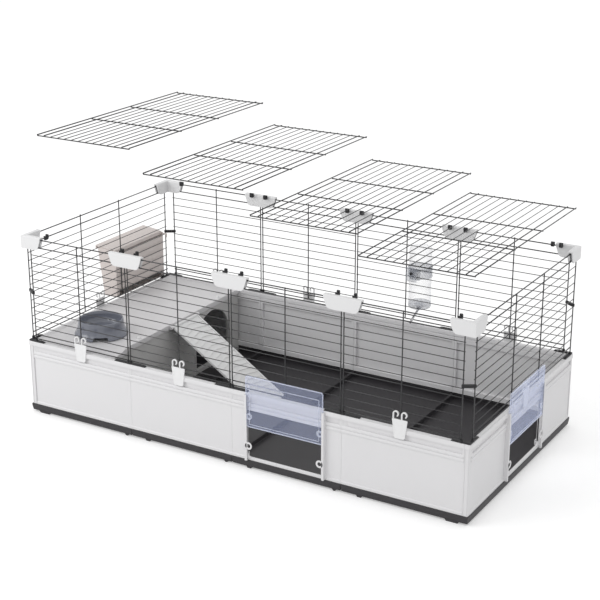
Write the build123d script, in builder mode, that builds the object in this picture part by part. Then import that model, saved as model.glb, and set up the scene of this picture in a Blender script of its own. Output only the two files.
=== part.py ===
from build123d import *
import math
import os

os.makedirs("parts", exist_ok=True)

# Rabbit cage of four modules, in millimetres, +X to the right, +Y to the back, +Z up.
# It stands as photographed: the roof panels are lifted off and both doors are half raised.

# Floor plan
LENGTH = 1425.0
DEPTH = 720.0
PITCH = 343.0
MODULES = 4
POST_LONG = 18.0
POST_SHORT = 10.0

# Heights above the ground
SKIRT_BOTTOM = 5.0
TRAY_FLOOR = 12.0
WALL_BOTTOM = 26.0
FACE_TOP = 174.0
BEAD_TOP = 196.0
BAND_TOP = 213.0
WALL_TOP = 226.0
TOP_ROW = 543.9
ROW_PITCH = 24.55
ROWS = 13

# How far each surface of a wall lies in from the outer line of the plan
LIP_IN = 2.0
FACE_IN = 4.0
BAND_IN = 6.0
BACK_IN = 12.0
RIM_IN = 16.0
PILLAR = 5.0

# Wires
THIN = 2.0
THICK = 3.0
WELD_IN = 6.0
UPRIGHT_IN = WELD_IN - THICK / 2
WIRE_FOOT = 236.0
WIRE_HEAD = 547.0
EDGE_WIRE = 683.0
PAIR_GAP = 4.0
SIDE_UPRIGHTS = (-339.6, -95.0, 95.0, 339.6)
WIRE_END = 2.0

# Pale caps on the wires and black pieces on the rim
CAP_TOP = 552.0
CAP_BOTTOM = 514.0
CAP_OUT = -1.0
CAP_IN = 14.5
CAP_SLOT_OUT = 2.5
CAP_SLOT_IN = 9.0
CAP_LENGTH = 110.0
CAP_ARM = 70.0
FOOT_LENGTH = 107.0
FOOT_ARM = 55.0
FOOT_OUT = 3.0
FOOT_IN = 12.0
FOOT_TOP = 231.0
SOCKET = 8.0

# Roof panels: the place of each one's middle as it is lifted off, left to right
ROOF_LIFTED = ((-485.0, 848.0), (-123.0, 785.0), (217.0, 719.0), (538.0, 662.0))
ROOF_BAR = 160.0
ROOF_BARS = 14
ROOF_BAR_PITCH = 24.5
ROOF_EDGE = 340.0
ROOF_CROSS = 95.0
HOOK = 9.0
HOOK_TOP = 562.0
HOOK_BOTTOM = 544.0
HOOK_IN = 32.0
HOOK_SEAT = 550.2
HOOK_SLOT = 5.4

# Doors
DOOR_WIDTH = 240.0
DOOR_HEIGHT = 150.0
DOOR_BOTTOM = 128.0
DOOR_SKIN = 1.6
DOOR_THICK = 3.0
DOOR_GAP = 2.0
OPENING_WIDTH = 241.0
OPENING_BOTTOM = 34.0
DOOR_SIDE_BORDER = 11.0
DOOR_TOP_BORDER = 22.0
DOOR_LOW_BORDER = 8.0
DOOR_RING_X = 110.0
DOOR_RING_Z = 31.0
RING = 8.0
RING_HOLE = 3.0
GUIDE = 7.0
GUIDE_LIP = 4.0

# Shelf, partition and ramp
SHELF_TOP = 228.0
SHELF_BOTTOM = 212.0
SHELF_EDGE = -424.0
SHELF_FLARE = -405.0
SHELF_HALF = 343.8
PARTITION = 6.0
PARTITION_X = -436.0
ARCH_RADIUS = 93.0
ARCH_TOP = 200.0
ARCH_Y = 191.0
ARCH_SILL = 28.0
RAMP_WIDTH = 130.0
RAMP_Y = 25.0
RAMP_THICK = 7.0
RAMP_FOOT_X = -102.0
RAMP_FOOT_Z = 15.7
PIN_X = -416.0
PIN_Z = 220.0
PIN_RADIUS = 2.0
BARREL_RADIUS = 5.0
PLAY = 0.3

# Feeder bowl, bottle and hay rack
BOWL_X = -560.0
BOWL_Y = -205.0
BOWL_BASE = 82.0
BOWL_RIM = 62.5
BOWL_HEIGHT = 62.0
BOTTLE_X = 200.0
BOTTLE_Y = 394.0
BOTTLE_RADIUS = 35.0
BOTTLE_BOTTOM = 300.0
BOTTLE_TOP = 458.0
BOTTLE_CAP_BOTTOM = 272.0
HOLDER_SKIN = 3.0
RACK_BACK = 711.0
RACK_REACH = 790.0
RACK_FRONT_Y = 72.0
RACK_REAR_Y = 328.0
RACK_TOP = 380.0
RACK_SKIN = 3.0

# The middle of the floor plan, seen from the point below the middle of the whole object's box
CAGE_X = (RACK_REACH - LENGTH / 2 - GUIDE) / 2
CAGE_Y = (GUIDE + DEPTH / 2 - BOTTLE_Y - BOTTLE_RADIUS - HOLDER_SKIN) / 2

# Each side of the cage: the middle of its outer line and the way along it, left to right from outside
SIDES = {
    "front": ((0.0, -DEPTH / 2), (1, 0)),
    "right": ((LENGTH / 2, 0.0), (0, 1)),
    "back": ((0.0, DEPTH / 2), (-1, 0)),
    "left": ((-LENGTH / 2, 0.0), (0, -1)),
}
CORNERS = ((-1, -1), (1, -1), (1, 1), (-1, 1))


def save(piece, name):
    piece.part.label = name
    export_step(piece.part, f"parts/{name}.step")


def level(height, x=0.0, y=0.0):
    """Level plane over a point of the floor plan."""
    return Plane((CAGE_X + x, CAGE_Y + y, height))


def side_point(side, along, inset):
    (mid_x, mid_y), (dx, dy) = SIDES[side]
    return (CAGE_X + mid_x + dx * along - dy * inset, CAGE_Y + mid_y + dy * along + dx * inset)


def section(side, along):
    """Plane across a wall: x is the way in from the outer line, y is up, z is along the wall."""
    dx, dy = SIDES[side][1]
    return Plane((*side_point(side, along, 0), 0), x_dir=(-dy, dx, 0), z_dir=(dx, dy, 0))


def face(side, along, inset):
    """Plane along a wall: x is along it, y is up, z is the way out."""
    dx, dy = SIDES[side][1]
    return Plane((*side_point(side, along, inset), 0), x_dir=(dx, dy, 0), z_dir=(dy, -dx, 0))


def plan(side, along, height):
    """Level plane beside a wall: x is along it, y is the way in."""
    dx, dy = SIDES[side][1]
    return Plane((*side_point(side, along, 0), height), x_dir=(dx, dy, 0), z_dir=(0, 0, 1))


def wire_row(number):
    return TOP_ROW - ROW_PITCH * number


def wire_gauge(number):
    return THICK if number in (0, 1, ROWS - 1) else THIN


def wire_profile(gauge, rotation=0, mode=Mode.ADD):
    """Six-sided section of a wire, its flats one gauge apart."""
    RegularPolygon(gauge / math.sqrt(3), 6, rotation=rotation, mode=mode)


# Floor trays: shallow dark dishes side by side, each on two long runners
TRAY_EDGES = (-LENGTH / 2, -PITCH, 0.0, PITCH, LENGTH / 2)
RUNNERS = (
    ((-667.0, 41.0), (-363.0, 14.0)),
    ((-287.5, 19.0), (-20.0, 14.0)),
    ((55.5, 19.0), (323.0, 14.0)),
    ((398.5, 19.0), (667.0, 41.0)),
)
TRAY_BORDER = 15.0
TRAY_JOINT = 4.0

for index in range(MODULES):
    left = TRAY_EDGES[index]
    right = TRAY_EDGES[index + 1]
    pocket_left = left + (TRAY_BORDER if index == 0 else TRAY_JOINT)
    pocket_right = right - (TRAY_BORDER if index == MODULES - 1 else TRAY_JOINT)
    middle = (left + right) / 2
    with BuildPart() as base_tray:
        with BuildSketch(level(SKIRT_BOTTOM, middle)):
            Rectangle(right - left, DEPTH)
        extrude(amount=WALL_BOTTOM - SKIRT_BOTTOM)
        with BuildSketch(level(TRAY_FLOOR, (pocket_left + pocket_right) / 2)):
            Rectangle(pocket_right - pocket_left, DEPTH - 2 * TRAY_BORDER)
        extrude(amount=WALL_BOTTOM - TRAY_FLOOR, mode=Mode.SUBTRACT)
        for place, width in RUNNERS[index]:
            with BuildSketch(level(0.0, place)):
                Rectangle(width, DEPTH - 2 * LIP_IN)
            extrude(amount=SKIRT_BOTTOM)
    save(base_tray, f"base_tray_{index + 1}")


# Walls: one moulded profile with a lower lip, two beads, a recessed band and a rounded rim
BEAD = (BEAD_TOP - FACE_TOP) / 2
CROWN_IN = 1.0
with BuildSketch() as wall_profile:
    with BuildLine():
        Polyline(
            (BACK_IN, BAND_TOP - 4),
            (BACK_IN, WALL_BOTTOM),
            (LIP_IN, WALL_BOTTOM),
            (LIP_IN, WALL_BOTTOM + 7),
            (FACE_IN, WALL_BOTTOM + 9),
            (FACE_IN, FACE_TOP),
        )
        for bead_foot in (FACE_TOP, FACE_TOP + BEAD):
            ThreePointArc((FACE_IN, bead_foot), (CROWN_IN, bead_foot + BEAD / 2), (FACE_IN, bead_foot + BEAD))
        Polyline((FACE_IN, BEAD_TOP), (BAND_IN, BEAD_TOP), (BAND_IN, BAND_TOP), (0, BAND_TOP), (0, WALL_TOP - 3))
        RadiusArc((0, WALL_TOP - 3), (3, WALL_TOP), 3)
        Line((3, WALL_TOP), (RIM_IN - 2, WALL_TOP))
        RadiusArc((RIM_IN - 2, WALL_TOP), (RIM_IN, WALL_TOP - 2), 2)
        Polyline((RIM_IN, WALL_TOP - 2), (RIM_IN, BAND_TOP), (BACK_IN, BAND_TOP - 4))
    make_face()


def wall(side, start, width, doorway=None):
    """A wall with a pillar across its band at each end, and with guides and lock rings at a doorway."""
    with BuildPart() as panel:
        with BuildSketch(section(side, start)):
            add(wall_profile.sketch)
        extrude(amount=width)
        for place in (start, start + width - PILLAR):
            with BuildSketch(section(side, place)):
                with Locations(((LIP_IN + BAND_IN) / 2, (BEAD_TOP + BAND_TOP) / 2)):
                    Rectangle(BAND_IN - LIP_IN, BAND_TOP - BEAD_TOP)
            extrude(amount=PILLAR)
        if doorway is None:
            return panel
        with BuildSketch(face(side, doorway, 2 * RIM_IN)):
            with Locations((0, (OPENING_BOTTOM + FACE_TOP) / 2)):
                Rectangle(OPENING_WIDTH, FACE_TOP - OPENING_BOTTOM)
        extrude(amount=3 * RIM_IN, mode=Mode.SUBTRACT)
        lip_back = DOOR_GAP + DOOR_THICK + PLAY
        for hand in (-1, 1):
            jamb = hand * OPENING_WIDTH / 2
            with BuildSketch(plan(side, doorway, WALL_BOTTOM)):
                with Locations((jamb + hand * GUIDE / 2, 0)):
                    Rectangle(GUIDE, 2 * GUIDE)
                with Locations((jamb - hand * GUIDE_LIP / 2, -(GUIDE + lip_back) / 2)):
                    Rectangle(GUIDE_LIP, GUIDE - lip_back)
            extrude(amount=WALL_TOP - WALL_BOTTOM)
            with BuildSketch(plan(side, doorway, WALL_BOTTOM)):
                with Locations((jamb - hand * GUIDE_LIP / 2, -GUIDE / 2)):
                    Rectangle(GUIDE_LIP, GUIDE)
            extrude(amount=DOOR_GAP)
            with BuildSketch(face(side, doorway, DOOR_THICK)):
                with Locations((jamb - hand * (RING - 1), OPENING_BOTTOM + DOOR_RING_Z + DOOR_THICK)):
                    Circle(RING)
                    Circle(RING_HOLE, mode=Mode.SUBTRACT)
            extrude(amount=DOOR_THICK)
    return panel


WALL_EDGES = (-LENGTH / 2 + POST_LONG, -PITCH, 0.0, PITCH, LENGTH / 2 - POST_LONG)
DOOR_MODULE = 3
FRONT_DOOR_X = PITCH / 2
SIDE_DOOR_Y = 0.0

for index in range(MODULES):
    left = WALL_EDGES[index]
    width = WALL_EDGES[index + 1] - left
    doorway = FRONT_DOOR_X if index + 1 == DOOR_MODULE else None
    save(wall("front", left, width, doorway), f"front_wall_{index + 1}")
    save(wall("back", -left - width, width), f"back_wall_{index + 1}")

END_WALL = DEPTH - 2 * POST_SHORT
save(wall("left", -END_WALL / 2, END_WALL), "left_side_wall")
save(wall("right", -END_WALL / 2, END_WALL, SIDE_DOOR_Y), "right_side_wall")

# Corner posts: the pieces between two walls, with the rim's overhang at their head
POST_PLACES = tuple(
    (hand_x * (LENGTH - POST_LONG) / 2, hand_y * (DEPTH - POST_SHORT) / 2) for hand_x, hand_y in CORNERS
)
for number, (x, y) in enumerate(POST_PLACES, start=1):
    outward_x = math.copysign(1, x)
    outward_y = math.copysign(1, y)
    with BuildPart() as corner_post:
        with BuildSketch(level(WALL_BOTTOM, x - outward_x * LIP_IN / 2, y - outward_y * LIP_IN / 2)):
            Rectangle(POST_LONG - LIP_IN, POST_SHORT - LIP_IN)
        extrude(amount=BAND_TOP - WALL_BOTTOM)
        with BuildSketch(level(BAND_TOP, x, y)):
            Rectangle(POST_LONG, POST_SHORT)
        extrude(amount=WALL_TOP - BAND_TOP)
        uprights = corner_post.edges().filter_by(Axis.Z)
        corner = Vector(CAGE_X + outward_x * LENGTH / 2, CAGE_Y + outward_y * DEPTH / 2, WALL_BOTTOM)
        fillet(uprights.sort_by_distance(corner)[0:2], POST_SHORT / 2 - LIP_IN)
    save(corner_post, f"corner_post_{number}")


# Lift doors: a thin clear pane with a raised border and two rings that meet those of the frame
def door(side, centre):
    middle = DOOR_BOTTOM + DOOR_HEIGHT / 2
    window_width = DOOR_WIDTH - 2 * DOOR_SIDE_BORDER
    window_height = DOOR_HEIGHT - DOOR_TOP_BORDER - DOOR_LOW_BORDER
    ring_z = DOOR_BOTTOM + DOOR_RING_Z
    with BuildPart() as panel:
        with BuildSketch(face(side, centre, -DOOR_GAP)):
            with Locations((0, middle)):
                RectangleRounded(DOOR_WIDTH, DOOR_HEIGHT, RING)
        extrude(amount=DOOR_THICK)
        with BuildSketch(face(side, centre, -DOOR_GAP - DOOR_SKIN)):
            with Locations((0, middle + (DOOR_LOW_BORDER - DOOR_TOP_BORDER) / 2)):
                Rectangle(window_width, window_height)
            with Locations((-DOOR_RING_X, ring_z), (DOOR_RING_X, ring_z)):
                Circle(RING, mode=Mode.SUBTRACT)
        extrude(amount=DOOR_THICK, mode=Mode.SUBTRACT)
        with BuildSketch(face(side, centre, 0)):
            with Locations((-DOOR_RING_X, ring_z), (DOOR_RING_X, ring_z)):
                Circle(RING_HOLE)
        extrude(amount=3 * DOOR_THICK, mode=Mode.SUBTRACT)
    return panel


save(door("front", FRONT_DOOR_X), "front_door")
save(door("right", SIDE_DOOR_Y), "side_door")


# Wire panels: level wires that bear on the inner side of thicker uprights
def wire_panel(side, uprights, name):
    first = uprights[0] - WIRE_END
    last = uprights[-1] + WIRE_END
    with BuildPart() as rows:
        for number in range(ROWS):
            gauge = wire_gauge(number)
            with BuildSketch(section(side, first)):
                with Locations((WELD_IN + gauge / 2, wire_row(number))):
                    wire_profile(gauge, rotation=30)
            extrude(amount=last - first)
    with BuildPart() as posts:
        for place in uprights:
            with BuildSketch(plan(side, place, WIRE_FOOT)):
                with Locations((0, UPRIGHT_IN)):
                    wire_profile(THICK)
            extrude(amount=WIRE_HEAD - WIRE_FOOT)
    export_step(Compound(label=name, children=rows.solids() + posts.solids()), f"parts/{name}.step")


WIRE_EDGES = (-EDGE_WIRE - PAIR_GAP, -PITCH, 0.0, PITCH, EDGE_WIRE + PAIR_GAP)
for index in range(MODULES):
    first = WIRE_EDGES[index] + PAIR_GAP
    last = WIRE_EDGES[index + 1] - PAIR_GAP
    centre = PITCH * (index + (1 - MODULES) / 2)
    wire_panel("front", (first, centre, last), f"front_wire_{index + 1}")
    wire_panel("back", (-last, -centre, -first), f"back_wire_{index + 1}")

wire_panel("left", SIDE_UPRIGHTS, "left_wire")
wire_panel("right", SIDE_UPRIGHTS, "right_wire")

# Roof panels: long bars over four cross wires, lifted off and stepped to the right
for index, (x, height) in enumerate(ROOF_LIFTED):
    with BuildPart() as cross_wires:
        with BuildSketch(Plane((CAGE_X + x - ROOF_BAR, CAGE_Y, height), x_dir=(0, 1, 0), z_dir=(1, 0, 0))):
            with Locations((-ROOF_EDGE, 0), (-ROOF_CROSS, 0), (ROOF_CROSS, 0), (ROOF_EDGE, 0)):
                wire_profile(THICK)
        extrude(amount=2 * ROOF_BAR)
    with BuildPart() as bars:
        for number in range(ROOF_BARS):
            offset = ROOF_BAR_PITCH * (number - (ROOF_BARS - 1) / 2)
            gauge = THICK if number in (0, 1, ROOF_BARS - 2, ROOF_BARS - 1) else THIN
            bar_start = Plane(
                (CAGE_X + x + offset, CAGE_Y - ROOF_EDGE - THICK / 2, height + (THICK + gauge) / 2),
                x_dir=(1, 0, 0),
                z_dir=(0, 1, 0),
            )
            with BuildSketch(bar_start):
                wire_profile(gauge)
            extrude(amount=2 * ROOF_EDGE + THICK)
    name = f"roof_panel_{index + 1}"
    export_step(Compound(label=name, children=cross_wires.solids() + bars.solids()), f"parts/{name}.step")

# Joint caps: pale saddles over the tops of two neighbouring wire panels, narrower towards their foot
JOINTS = (-PITCH, 0.0, PITCH)
CAP_FOOT = 85.0
CAP_CHEEK = 6.0
with BuildPart() as joint_caps:
    for side in ("front", "back"):
        for joint in JOINTS:
            with BuildSketch(face(side, joint, CAP_IN)):
                Polygon(
                    (-CAP_LENGTH / 2, CAP_TOP),
                    (-CAP_LENGTH / 2, CAP_TOP - CAP_CHEEK),
                    (-CAP_FOOT / 2, CAP_BOTTOM),
                    (CAP_FOOT / 2, CAP_BOTTOM),
                    (CAP_LENGTH / 2, CAP_TOP - CAP_CHEEK),
                    (CAP_LENGTH / 2, CAP_TOP),
                    align=None,
                )
            extrude(amount=CAP_IN - CAP_OUT)
            with BuildSketch(section(side, joint - CAP_LENGTH / 2)):
                with Locations(((CAP_SLOT_OUT + CAP_SLOT_IN) / 2, (WIRE_HEAD + CAP_BOTTOM) / 2)):
                    Rectangle(CAP_SLOT_IN - CAP_SLOT_OUT, WIRE_HEAD - CAP_BOTTOM)
            extrude(amount=CAP_LENGTH, mode=Mode.SUBTRACT)
save(joint_caps, "joint_caps")


# Corner caps and feet are angles that follow the wire planes round the corner
def corner_angle(corner, outer, inner, arm):
    """Plan of an angle at a corner, between two insets from the outer lines."""
    hand_x, hand_y = corner
    far_x = LENGTH / 2 - outer
    far_y = DEPTH / 2 - outer
    width = inner - outer
    outline = (
        (far_x, far_y),
        (far_x - arm, far_y),
        (far_x - arm, far_y - width),
        (far_x - width, far_y - width),
        (far_x - width, far_y - arm),
        (far_x, far_y - arm),
    )
    Polygon(*((hand_x * x, hand_y * y) for x, y in outline), align=None)


with BuildPart() as corner_caps:
    for corner in CORNERS:
        with BuildSketch(level(CAP_BOTTOM)):
            corner_angle(corner, CAP_OUT, CAP_IN, CAP_ARM)
        extrude(amount=CAP_TOP - CAP_BOTTOM)
        with BuildSketch(level(CAP_BOTTOM)):
            corner_angle(corner, CAP_SLOT_OUT, CAP_SLOT_IN, 2 * CAP_ARM)
        extrude(amount=WIRE_HEAD - CAP_BOTTOM, mode=Mode.SUBTRACT)
save(corner_caps, "corner_caps")

# Roof hooks: black blocks on the inner side of the caps, open upward for the roof's edge wire
JOINT_HOOK = 25.0
OUTER_HOOK = 661.5
INNER_HOOK = 637.0
JOINT_HOOKS = tuple(joint + hand * JOINT_HOOK for joint in JOINTS for hand in (-1, 1))
CORNER_HOOKS = {"front": (-INNER_HOOK, OUTER_HOOK), "back": (-INNER_HOOK, -OUTER_HOOK, INNER_HOOK)}
SEAT_IN = DEPTH / 2 - ROOF_EDGE
with BuildPart() as roof_hooks:
    for side in ("front", "back"):
        for place in JOINT_HOOKS + CORNER_HOOKS[side]:
            with BuildSketch(section(side, place - HOOK / 2)):
                with Locations(((CAP_IN + HOOK_IN) / 2, (HOOK_BOTTOM + HOOK_TOP) / 2)):
                    Rectangle(HOOK_IN - CAP_IN, HOOK_TOP - HOOK_BOTTOM)
                with Locations((SEAT_IN, (HOOK_SEAT + HOOK_TOP) / 2)):
                    Rectangle(HOOK_SLOT, HOOK_TOP - HOOK_SEAT, mode=Mode.SUBTRACT)
            extrude(amount=HOOK)
save(roof_hooks, "roof_hooks")

# Joint feet and corner feet: black strips on the rim with a socket under each edge wire
with BuildPart() as joint_feet:
    for side in ("front", "back"):
        for joint in JOINTS:
            with BuildSketch(plan(side, joint, WALL_TOP)):
                with Locations((0, (FOOT_OUT + FOOT_IN) / 2)):
                    Rectangle(FOOT_LENGTH, FOOT_IN - FOOT_OUT)
            extrude(amount=FOOT_TOP - WALL_TOP)
            with BuildSketch(plan(side, joint, FOOT_TOP)):
                with Locations((0, (FOOT_OUT + FOOT_IN) / 2)):
                    Rectangle(2 * SOCKET, SOCKET)
            extrude(amount=WIRE_FOOT - FOOT_TOP)
save(joint_feet, "joint_feet")

with BuildPart() as corner_feet:
    for hand_x, hand_y in CORNERS:
        with BuildSketch(level(WALL_TOP)):
            corner_angle((hand_x, hand_y), FOOT_OUT, FOOT_IN, FOOT_ARM)
        extrude(amount=FOOT_TOP - WALL_TOP)
        foot_middle = (FOOT_OUT + FOOT_IN) / 2
        with BuildSketch(level(FOOT_TOP)):
            with Locations(
                (hand_x * EDGE_WIRE, hand_y * (DEPTH / 2 - foot_middle)),
                (hand_x * (LENGTH / 2 - foot_middle), hand_y * SIDE_UPRIGHTS[-1]),
            ):
                Rectangle(SOCKET, SOCKET)
        extrude(amount=WIRE_FOOT - FOOT_TOP)
save(corner_feet, "corner_feet")

# Corner clips: black links that tie the two edge wires at each corner, over the eighth row
CLIP_ROW = 7
CLIP_HEIGHT = 13.0
CLIP_RADIUS = 5.0
EDGE_X = EDGE_WIRE
EDGE_Y = DEPTH / 2 - UPRIGHT_IN
SIDE_X = LENGTH / 2 - UPRIGHT_IN
SIDE_Y = SIDE_UPRIGHTS[-1]
with BuildPart() as corner_clips:
    for hand_x, hand_y in CORNERS:
        link = Vector(hand_x * (SIDE_X - EDGE_X), hand_y * (SIDE_Y - EDGE_Y))
        turn = math.degrees(math.atan2(link.Y, link.X))
        with BuildSketch(level(wire_row(CLIP_ROW) + THIN / math.sqrt(3))):
            with Locations((hand_x * (EDGE_X + SIDE_X) / 2, hand_y * (EDGE_Y + SIDE_Y) / 2)):
                Rectangle(link.length + 2 * CLIP_RADIUS, 2 * CLIP_RADIUS, rotation=turn)
            with Locations((hand_x * EDGE_X, hand_y * EDGE_Y)):
                wire_profile(THICK, mode=Mode.SUBTRACT)
            with Locations((hand_x * SIDE_X, hand_y * SIDE_Y)):
                wire_profile(THICK, rotation=30, mode=Mode.SUBTRACT)
        extrude(amount=CLIP_HEIGHT)
save(corner_clips, "corner_clips")

# Wall clips: white pieces astride the rim, each with two curled fingers up the wires
CLIP_WIDTH = 46.0
CLIP_LOW = 207.0
CLIP_SKIN = 1.4
CLIP_TONGUE = 24.0
CLIP_BRIDGE = 8.0
CURL_OUT = 11.0
CURL_BORE = 6.0
CURL_STEM = 5.0
CURL_Z = 262.0
WALL_CLIPS = {
    "front": (-1.5 * PITCH, -0.5 * PITCH, 1.5 * PITCH),
    "back": (-1.5 * PITCH, 0.5 * PITCH, 1.5 * PITCH),
    "left": (12.0,),
    "right": (-5.0,),
}
UPRIGHT_FACE = WELD_IN - THICK
with BuildPart() as wall_clips:
    for side, places in WALL_CLIPS.items():
        for place in places:
            with BuildSketch(face(side, place, 0)):
                Polygon(
                    (-CLIP_WIDTH / 2, WALL_TOP),
                    (-CLIP_TONGUE / 2, CLIP_LOW),
                    (CLIP_TONGUE / 2, CLIP_LOW),
                    (CLIP_WIDTH / 2, WALL_TOP),
                    align=None,
                )
            extrude(amount=CLIP_SKIN)
            with BuildSketch(face(side, place, UPRIGHT_FACE)):
                with Locations((0, WALL_TOP + CLIP_BRIDGE / 2)):
                    Rectangle(CLIP_WIDTH, CLIP_BRIDGE)
                for hand in (-1, 1):
                    with Locations((hand * (CURL_OUT + 1), CURL_Z)):
                        RegularPolygon(CURL_OUT, 8, rotation=22.5)
                for hand in (-1, 1):
                    with Locations((hand * (CURL_OUT + 1), CURL_Z)):
                        RegularPolygon(CURL_BORE, 8, rotation=22.5, mode=Mode.SUBTRACT)
                    with Locations((hand * (CURL_OUT + 1) + CURL_STEM / 2 - CURL_OUT, (WALL_TOP + CURL_Z) / 2)):
                        Rectangle(CURL_STEM, CURL_Z - WALL_TOP)
            extrude(amount=UPRIGHT_FACE + CLIP_SKIN)
save(wall_clips, "wall_clips")

# Shelf: a tray-like lid of the den with a lip on the rim, flared at the front of its free edge
FLARE_START = -240.0
SHELF_LIP_X = -LENGTH / 2 + BACK_IN + 2
SHELF_LIP_Y = DEPTH / 2 - BACK_IN - 2
SHELF_BODY_X = -LENGTH / 2 + RIM_IN + 0.2
LUG = 5.0
LUG_PLACES = (RAMP_Y - RAMP_WIDTH / 2 - LUG, RAMP_Y + RAMP_WIDTH / 2 + LUG)
SHELF_LAYERS = (
    (SHELF_BOTTOM, WALL_TOP, SHELF_BODY_X, SHELF_HALF),
    (WALL_TOP, SHELF_TOP, SHELF_LIP_X, SHELF_LIP_Y),
)
with BuildPart() as shelf:
    for bottom, top, left, half in SHELF_LAYERS:
        with BuildSketch(level(bottom)):
            with BuildLine():
                Polyline((SHELF_EDGE, FLARE_START), (SHELF_EDGE, half), (left, half), (left, -half), (SHELF_FLARE, -half))
                Spline(
                    (SHELF_FLARE, -half),
                    (SHELF_EDGE, FLARE_START),
                    tangents=((-0.3, 1), (-0.1, 1)),
                )
            make_face()
        extrude(amount=top - bottom)
    for place in LUG_PLACES:
        with BuildSketch(Plane((CAGE_X, CAGE_Y + place - LUG / 2, 0), x_dir=(1, 0, 0), z_dir=(0, -1, 0))):
            with Locations((PIN_X, PIN_Z)):
                Circle(BARREL_RADIUS)
            with Locations(((SHELF_EDGE + PIN_X) / 2, PIN_Z)):
                Rectangle(PIN_X - SHELF_EDGE + LIP_IN, 2 * BARREL_RADIUS)
            with Locations((PIN_X, PIN_Z)):
                Circle(PIN_RADIUS, mode=Mode.SUBTRACT)
        extrude(amount=-LUG)
save(shelf, "shelf")

# Partition: the den's inner wall under the shelf, with an arched doorway in its rear half
PEG_RADIUS = 5.0
PEG_HEIGHT = 8.0
PEG_PLACES = (-190.0, 231.0)
ARCH_SPRING = ARCH_TOP - ARCH_RADIUS
with BuildPart() as shelf_partition:
    with BuildSketch(Plane((CAGE_X + PARTITION_X, CAGE_Y, 0), x_dir=(0, 1, 0), z_dir=(1, 0, 0))):
        with Locations((0, (TRAY_FLOOR + SHELF_BOTTOM) / 2)):
            Rectangle(2 * SHELF_HALF, SHELF_BOTTOM - TRAY_FLOOR)
        with Locations((ARCH_Y, ARCH_SPRING)):
            Circle(ARCH_RADIUS, mode=Mode.SUBTRACT)
        with Locations((ARCH_Y, (ARCH_SPRING + ARCH_SILL) / 2)):
            Rectangle(2 * ARCH_RADIUS, ARCH_SPRING - ARCH_SILL, mode=Mode.SUBTRACT)
    extrude(amount=PARTITION)
save(shelf_partition, "shelf_partition")

with BuildPart() as shelf_pegs:
    with BuildSketch(level(SHELF_TOP, SHELF_EDGE - 2 * PEG_RADIUS)):
        with Locations(*((0, place) for place in PEG_PLACES)):
            Circle(PEG_RADIUS)
    extrude(amount=PEG_HEIGHT)
save(shelf_pegs, "shelf_pegs")

# Ramp: a ridged board that turns on a steel pin between the shelf's two lugs
RAMP_SLOPE = math.atan2(PIN_Z - RAMP_FOOT_Z, RAMP_FOOT_X - PIN_X)
RAMP_LENGTH = math.hypot(PIN_Z - RAMP_FOOT_Z, RAMP_FOOT_X - PIN_X)
RIDGES = 14
RIDGE = 3.0
RAIL = 5.0
ramp_top = Plane(
    (CAGE_X + PIN_X, CAGE_Y + RAMP_Y, PIN_Z),
    x_dir=(math.cos(RAMP_SLOPE), 0, -math.sin(RAMP_SLOPE)),
    z_dir=(math.sin(RAMP_SLOPE), 0, math.cos(RAMP_SLOPE)),
)
pin_end = Plane((CAGE_X + PIN_X, CAGE_Y + LUG_PLACES[0] - LUG / 2, PIN_Z), x_dir=(1, 0, 0), z_dir=(0, 1, 0))
with BuildPart() as ramp:
    with BuildSketch(ramp_top):
        with Locations((RAMP_LENGTH / 2, 0)):
            Rectangle(RAMP_LENGTH, RAMP_WIDTH)
    extrude(amount=RIDGE - RAMP_THICK)
    with BuildSketch(ramp_top):
        with Locations((RAMP_LENGTH / 2, 0)):
            with GridLocations(0, RAMP_WIDTH - RAIL, 1, 2):
                Rectangle(RAMP_LENGTH, RAIL)
            with GridLocations(RAMP_LENGTH / RIDGES, 0, RIDGES, 1):
                Rectangle(RAIL, RAMP_WIDTH)
    extrude(amount=RIDGE)
    with BuildSketch(pin_end):
        Circle(BARREL_RADIUS)
    extrude(amount=LUG_PLACES[1] - LUG_PLACES[0] + LUG)
    with BuildSketch(pin_end):
        Circle(PIN_RADIUS + PLAY)
    extrude(amount=LUG_PLACES[1] - LUG_PLACES[0] + LUG, mode=Mode.SUBTRACT)
    for place in LUG_PLACES:
        with BuildSketch(level(PIN_Z - 2 * BARREL_RADIUS, PIN_X, place)):
            Rectangle(6 * BARREL_RADIUS, LUG + 2 * PLAY)
        extrude(amount=4 * BARREL_RADIUS, mode=Mode.SUBTRACT)
save(ramp, "ramp")

with BuildPart() as ramp_pin:
    with BuildSketch(pin_end):
        Circle(PIN_RADIUS)
    extrude(amount=LUG_PLACES[1] - LUG_PLACES[0] + LUG)
save(ramp_pin, "ramp_pin")

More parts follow.
